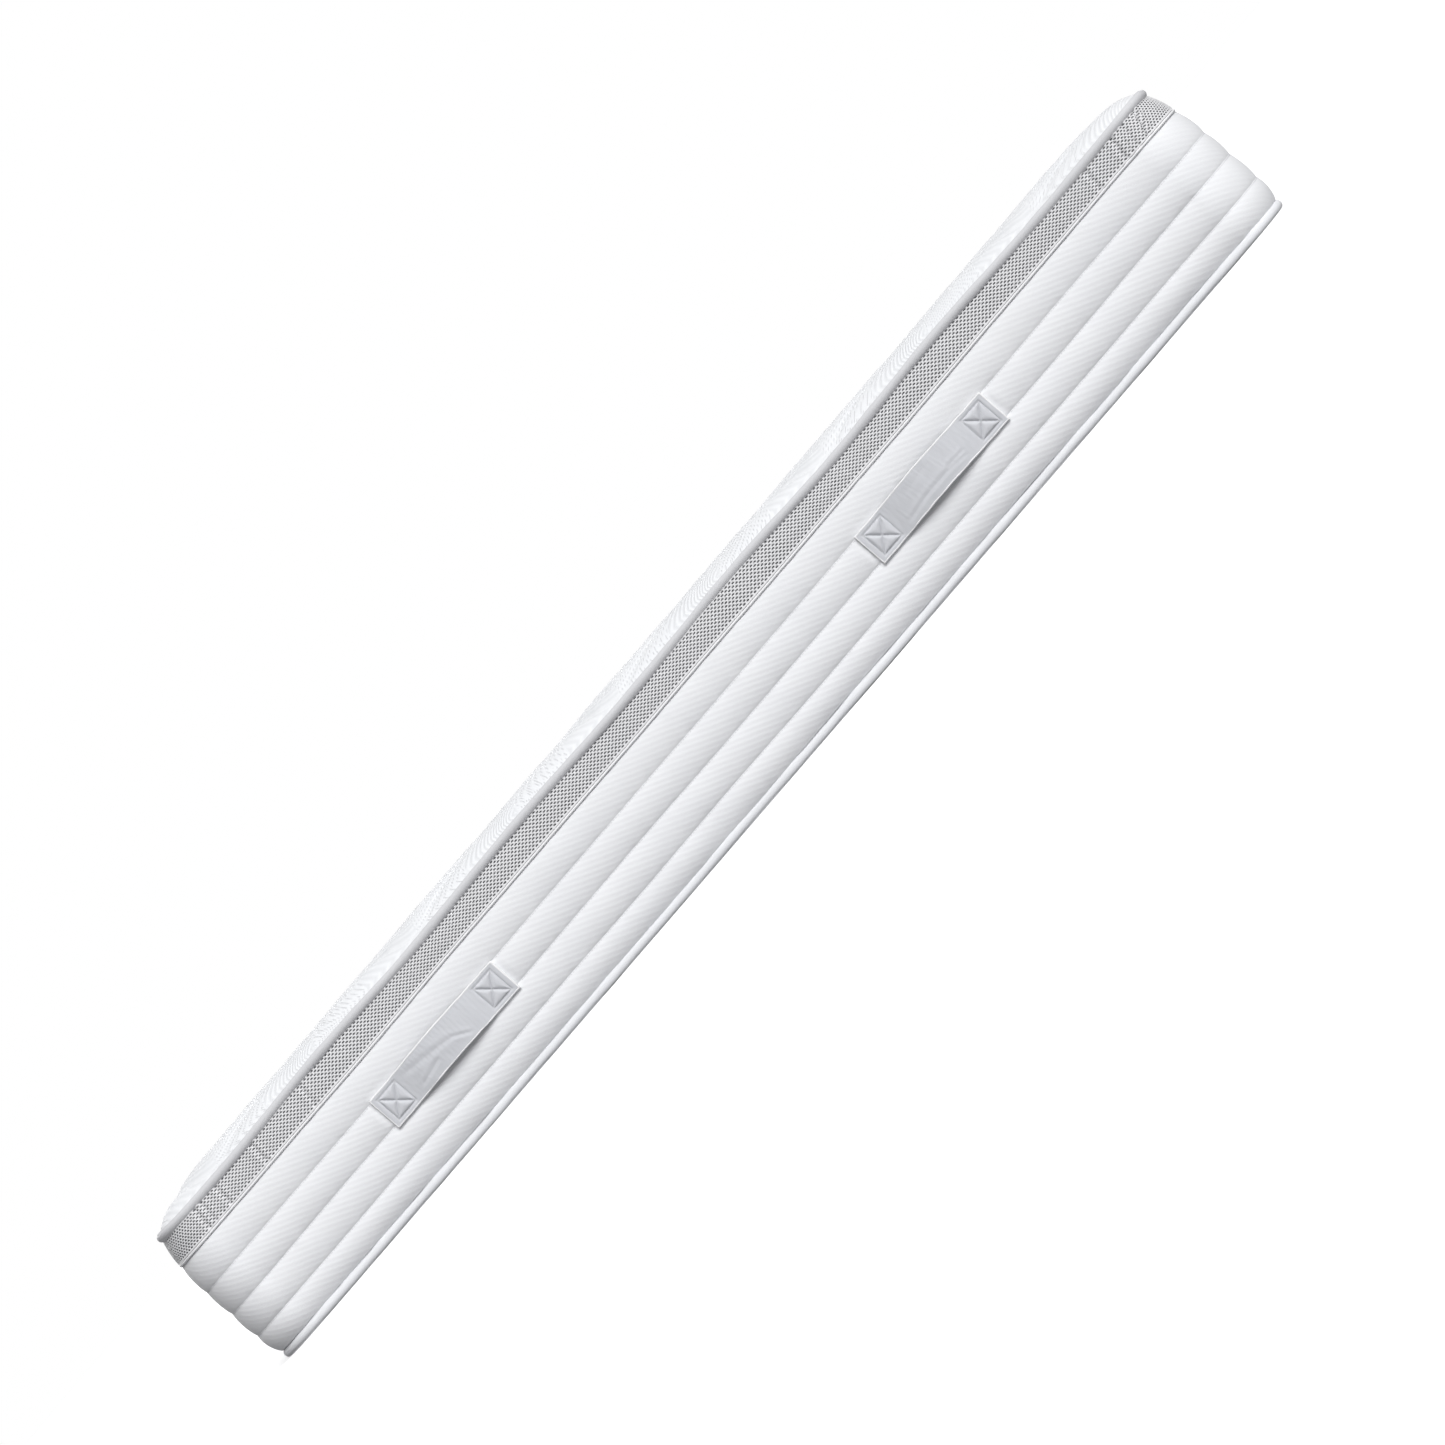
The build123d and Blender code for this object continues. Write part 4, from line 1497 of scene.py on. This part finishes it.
def sleeve_half(corner, half, creases, seed):
    """The knit sleeve between the middle and one end."""
    place = PLACES[corner]
    u = half_run(SLEEVE_END, 1.4 * MM, half)[:, None]
    front = np.linspace(-SLEEVE_HALF, SLEEVE_HALF, 44)[None, :]
    rear = np.linspace(SLEEVE_HALF, -SLEEVE_HALF, 10)[None, :]
    front_points = strap_points(place, u, front, strap_front(u, front, creases, seed))
    rear_points = strap_points(place, u, rear, strap_back(u) + 0.1 * MM + 0 * rear)
    points = np.concatenate([front_points, rear_points], 1)
    girth = np.concatenate([front[0], 2 * SLEEVE_HALF - rear[0], [3 * SLEEVE_HALF + STRAP_THICKNESS]])
    return strap_piece("sleeve", corner, half, points, u[:, 0], girth, "strap_cloth")


def webbing_half(corner, half):
    """The flat webbing inside the sleeve."""
    place = PLACES[corner]
    u = half_run(SLEEVE_END - 1 * MM, 4 * MM, half)[:, None]
    edge = SLEEVE_HALF - 2 * MM
    front = np.linspace(-edge, edge, 5)
    h = np.append(front, front[::-1])[None, :]
    depth = np.repeat(WEBBING_FACES, len(front))[None, :] * MM
    points = strap_points(place, u, h, strap_back(u) + depth)
    girth = np.append(0, np.cumsum(np.abs(np.diff(h[0])) + np.abs(np.diff(depth[0]))))
    girth = np.append(girth, girth[-1] + 2 * MM)
    return strap_piece("webbing", corner, half, points, u[:, 0], girth, "webbing")


def edging_half(corner, half):
    """The binding tape from the middle along one long edge, round the end and back."""
    place = PLACES[corner]
    reach = HANDLE_HALF - EDGING / 2
    height = STRAP_HALF - EDGING / 2
    run = np.linspace(0, reach, EDGE_ROWS)
    end = np.linspace(height, -height, END_ROWS)[1:-1]
    u = np.concatenate([run, np.full_like(end, reach), run[::-1]])
    h = np.concatenate([np.full_like(run, height), end, np.full_like(run, -height)])
    out_u = np.where(u == reach, 1.0, 0.0)
    out_h = np.where(np.abs(h) == height, np.sign(h), 0.0)
    turn = 2 * math.pi * np.arange(EDGING_POINTS)[None, :] / EDGING_POINTS
    wide = np.sign(np.cos(turn)) * np.abs(np.cos(turn)) ** 0.7 * (EDGING / 2 + 0.1 * MM)
    deep = np.sign(np.sin(turn)) * np.abs(np.sin(turn)) ** 0.7 * (STRAP_THICKNESS / 2 + 0.35 * MM)
    wander = 0.12 * MM * np.sin(2 * math.pi * (u + h) / (31 * MM))[:, None]
    path_u = (u[:, None] + out_u[:, None] * wide) * half
    path_h = h[:, None] + out_h[:, None] * (wide + wander)
    depth = strap_back(u[:, None] + out_u[:, None] * wide) + STRAP_THICKNESS / 2 + deep
    points = strap_points(place, path_u, path_h, depth)
    if half * place["side"] > 0:
        points = points[::-1]
    length = np.append(0, np.cumsum(np.hypot(np.diff(u), np.diff(h))))
    girth = np.arange(EDGING_POINTS + 1) * 1.3 * MM
    return strap_piece("edging", corner, half, points, length, girth, "edging_tape")


# %% Box stitches of one handle
def thread_line(start, end, pitch, length):
    """Stitch starts and ends along a straight line, as two lists of (u, h)."""
    start = np.array(start)
    along = np.array(end) - start
    whole = np.linalg.norm(along)
    count = max(2, round(whole / pitch))
    t = (np.arange(count) + 0.5) / count
    reach = length / 2 / whole
    return start + np.outer(t - reach, along), start + np.outer(t + reach, along)


def box_stitches(corner, creases, seed):
    """Both crossed boxes: a dotted frame, one close diagonal and one open one."""
    place = PLACES[corner]
    begins = []
    finishes = []
    a, b = BOX_HALF_LENGTH, BOX_HALF_HEIGHT
    for middle in (-BOX_MIDDLE, BOX_MIDDLE):
        box = [(middle - a, b), (middle + a, b), (middle + a, -b), (middle - a, -b)]
        lines = [(box[k], box[(k + 1) % 4], 3.3, 2.5) for k in range(4)]
        lines.append((box[0], box[2], 2.4, 2.5))
        lines.append((box[3], box[1], 3.6, 2.5))
        for start, end, pitch, length in lines:
            first, last = thread_line(start, end, pitch * MM, length * MM)
            begins.append(first)
            finishes.append(last)
    laid = []
    for ends in (np.concatenate(begins), np.concatenate(finishes)):
        u, h = ends[:, 0], ends[:, 1]
        laid.append(strap_points(place, u, h, strap_front(u, h, creases, seed) + 0.15 * MM))
    outwards = np.tile((0.0, place["side"], 0.0), (len(laid[0]), 1))
    return stitches(f"{corner}_box_stitches", *laid, outwards, 0.8 * MM)


# %% All four handles
for number, corner in enumerate(CORNERS):
    place = PLACES[corner]
    creases = "left" if corner in ("front_left", "back_right") else "right"
    seed = 100 + 10 * number
    for half in (-1, 1):
        tab = strap_points(place, half * TAB_INNER, 0, 0)
        middle = strap_points(place, 0.0, 0, 0)
        pieces = (
            (sleeve_half(corner, half, creases, seed), "strap_cloth", "cover"),
            (webbing_half(corner, half), "webbing", "core"),
            (edging_half(corner, half), "edging_tape", "edging"),
        )
        for piece, slot, part in pieces:
            piece.data.set_sharp_from_angle(angle=math.radians(50))
            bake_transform(piece)
            place_piece(piece, None, slot, f"{corner}_tab_{part}", f"{corner}_grip_{part}")
    place_piece(box_stitches(corner, creases, seed), "root", "thread", f"{corner}_box_stitch")

# %% [markdown]
#
# The thin backings and patches are right as they are, so they only get their nonwoven finish. At
# the end the dressed model's box is worked out again.

# %% Finishes for the CAD nodes
for part in frame["record"]["subparts"]:
    mesh = frame["nodes"][part["node"]].data
    mesh.materials.clear()
    mesh.materials.append(MATERIALS[part["material_slot"]])
print(len(frame["nodes"]), "CAD nodes have a finish")

low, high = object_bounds()
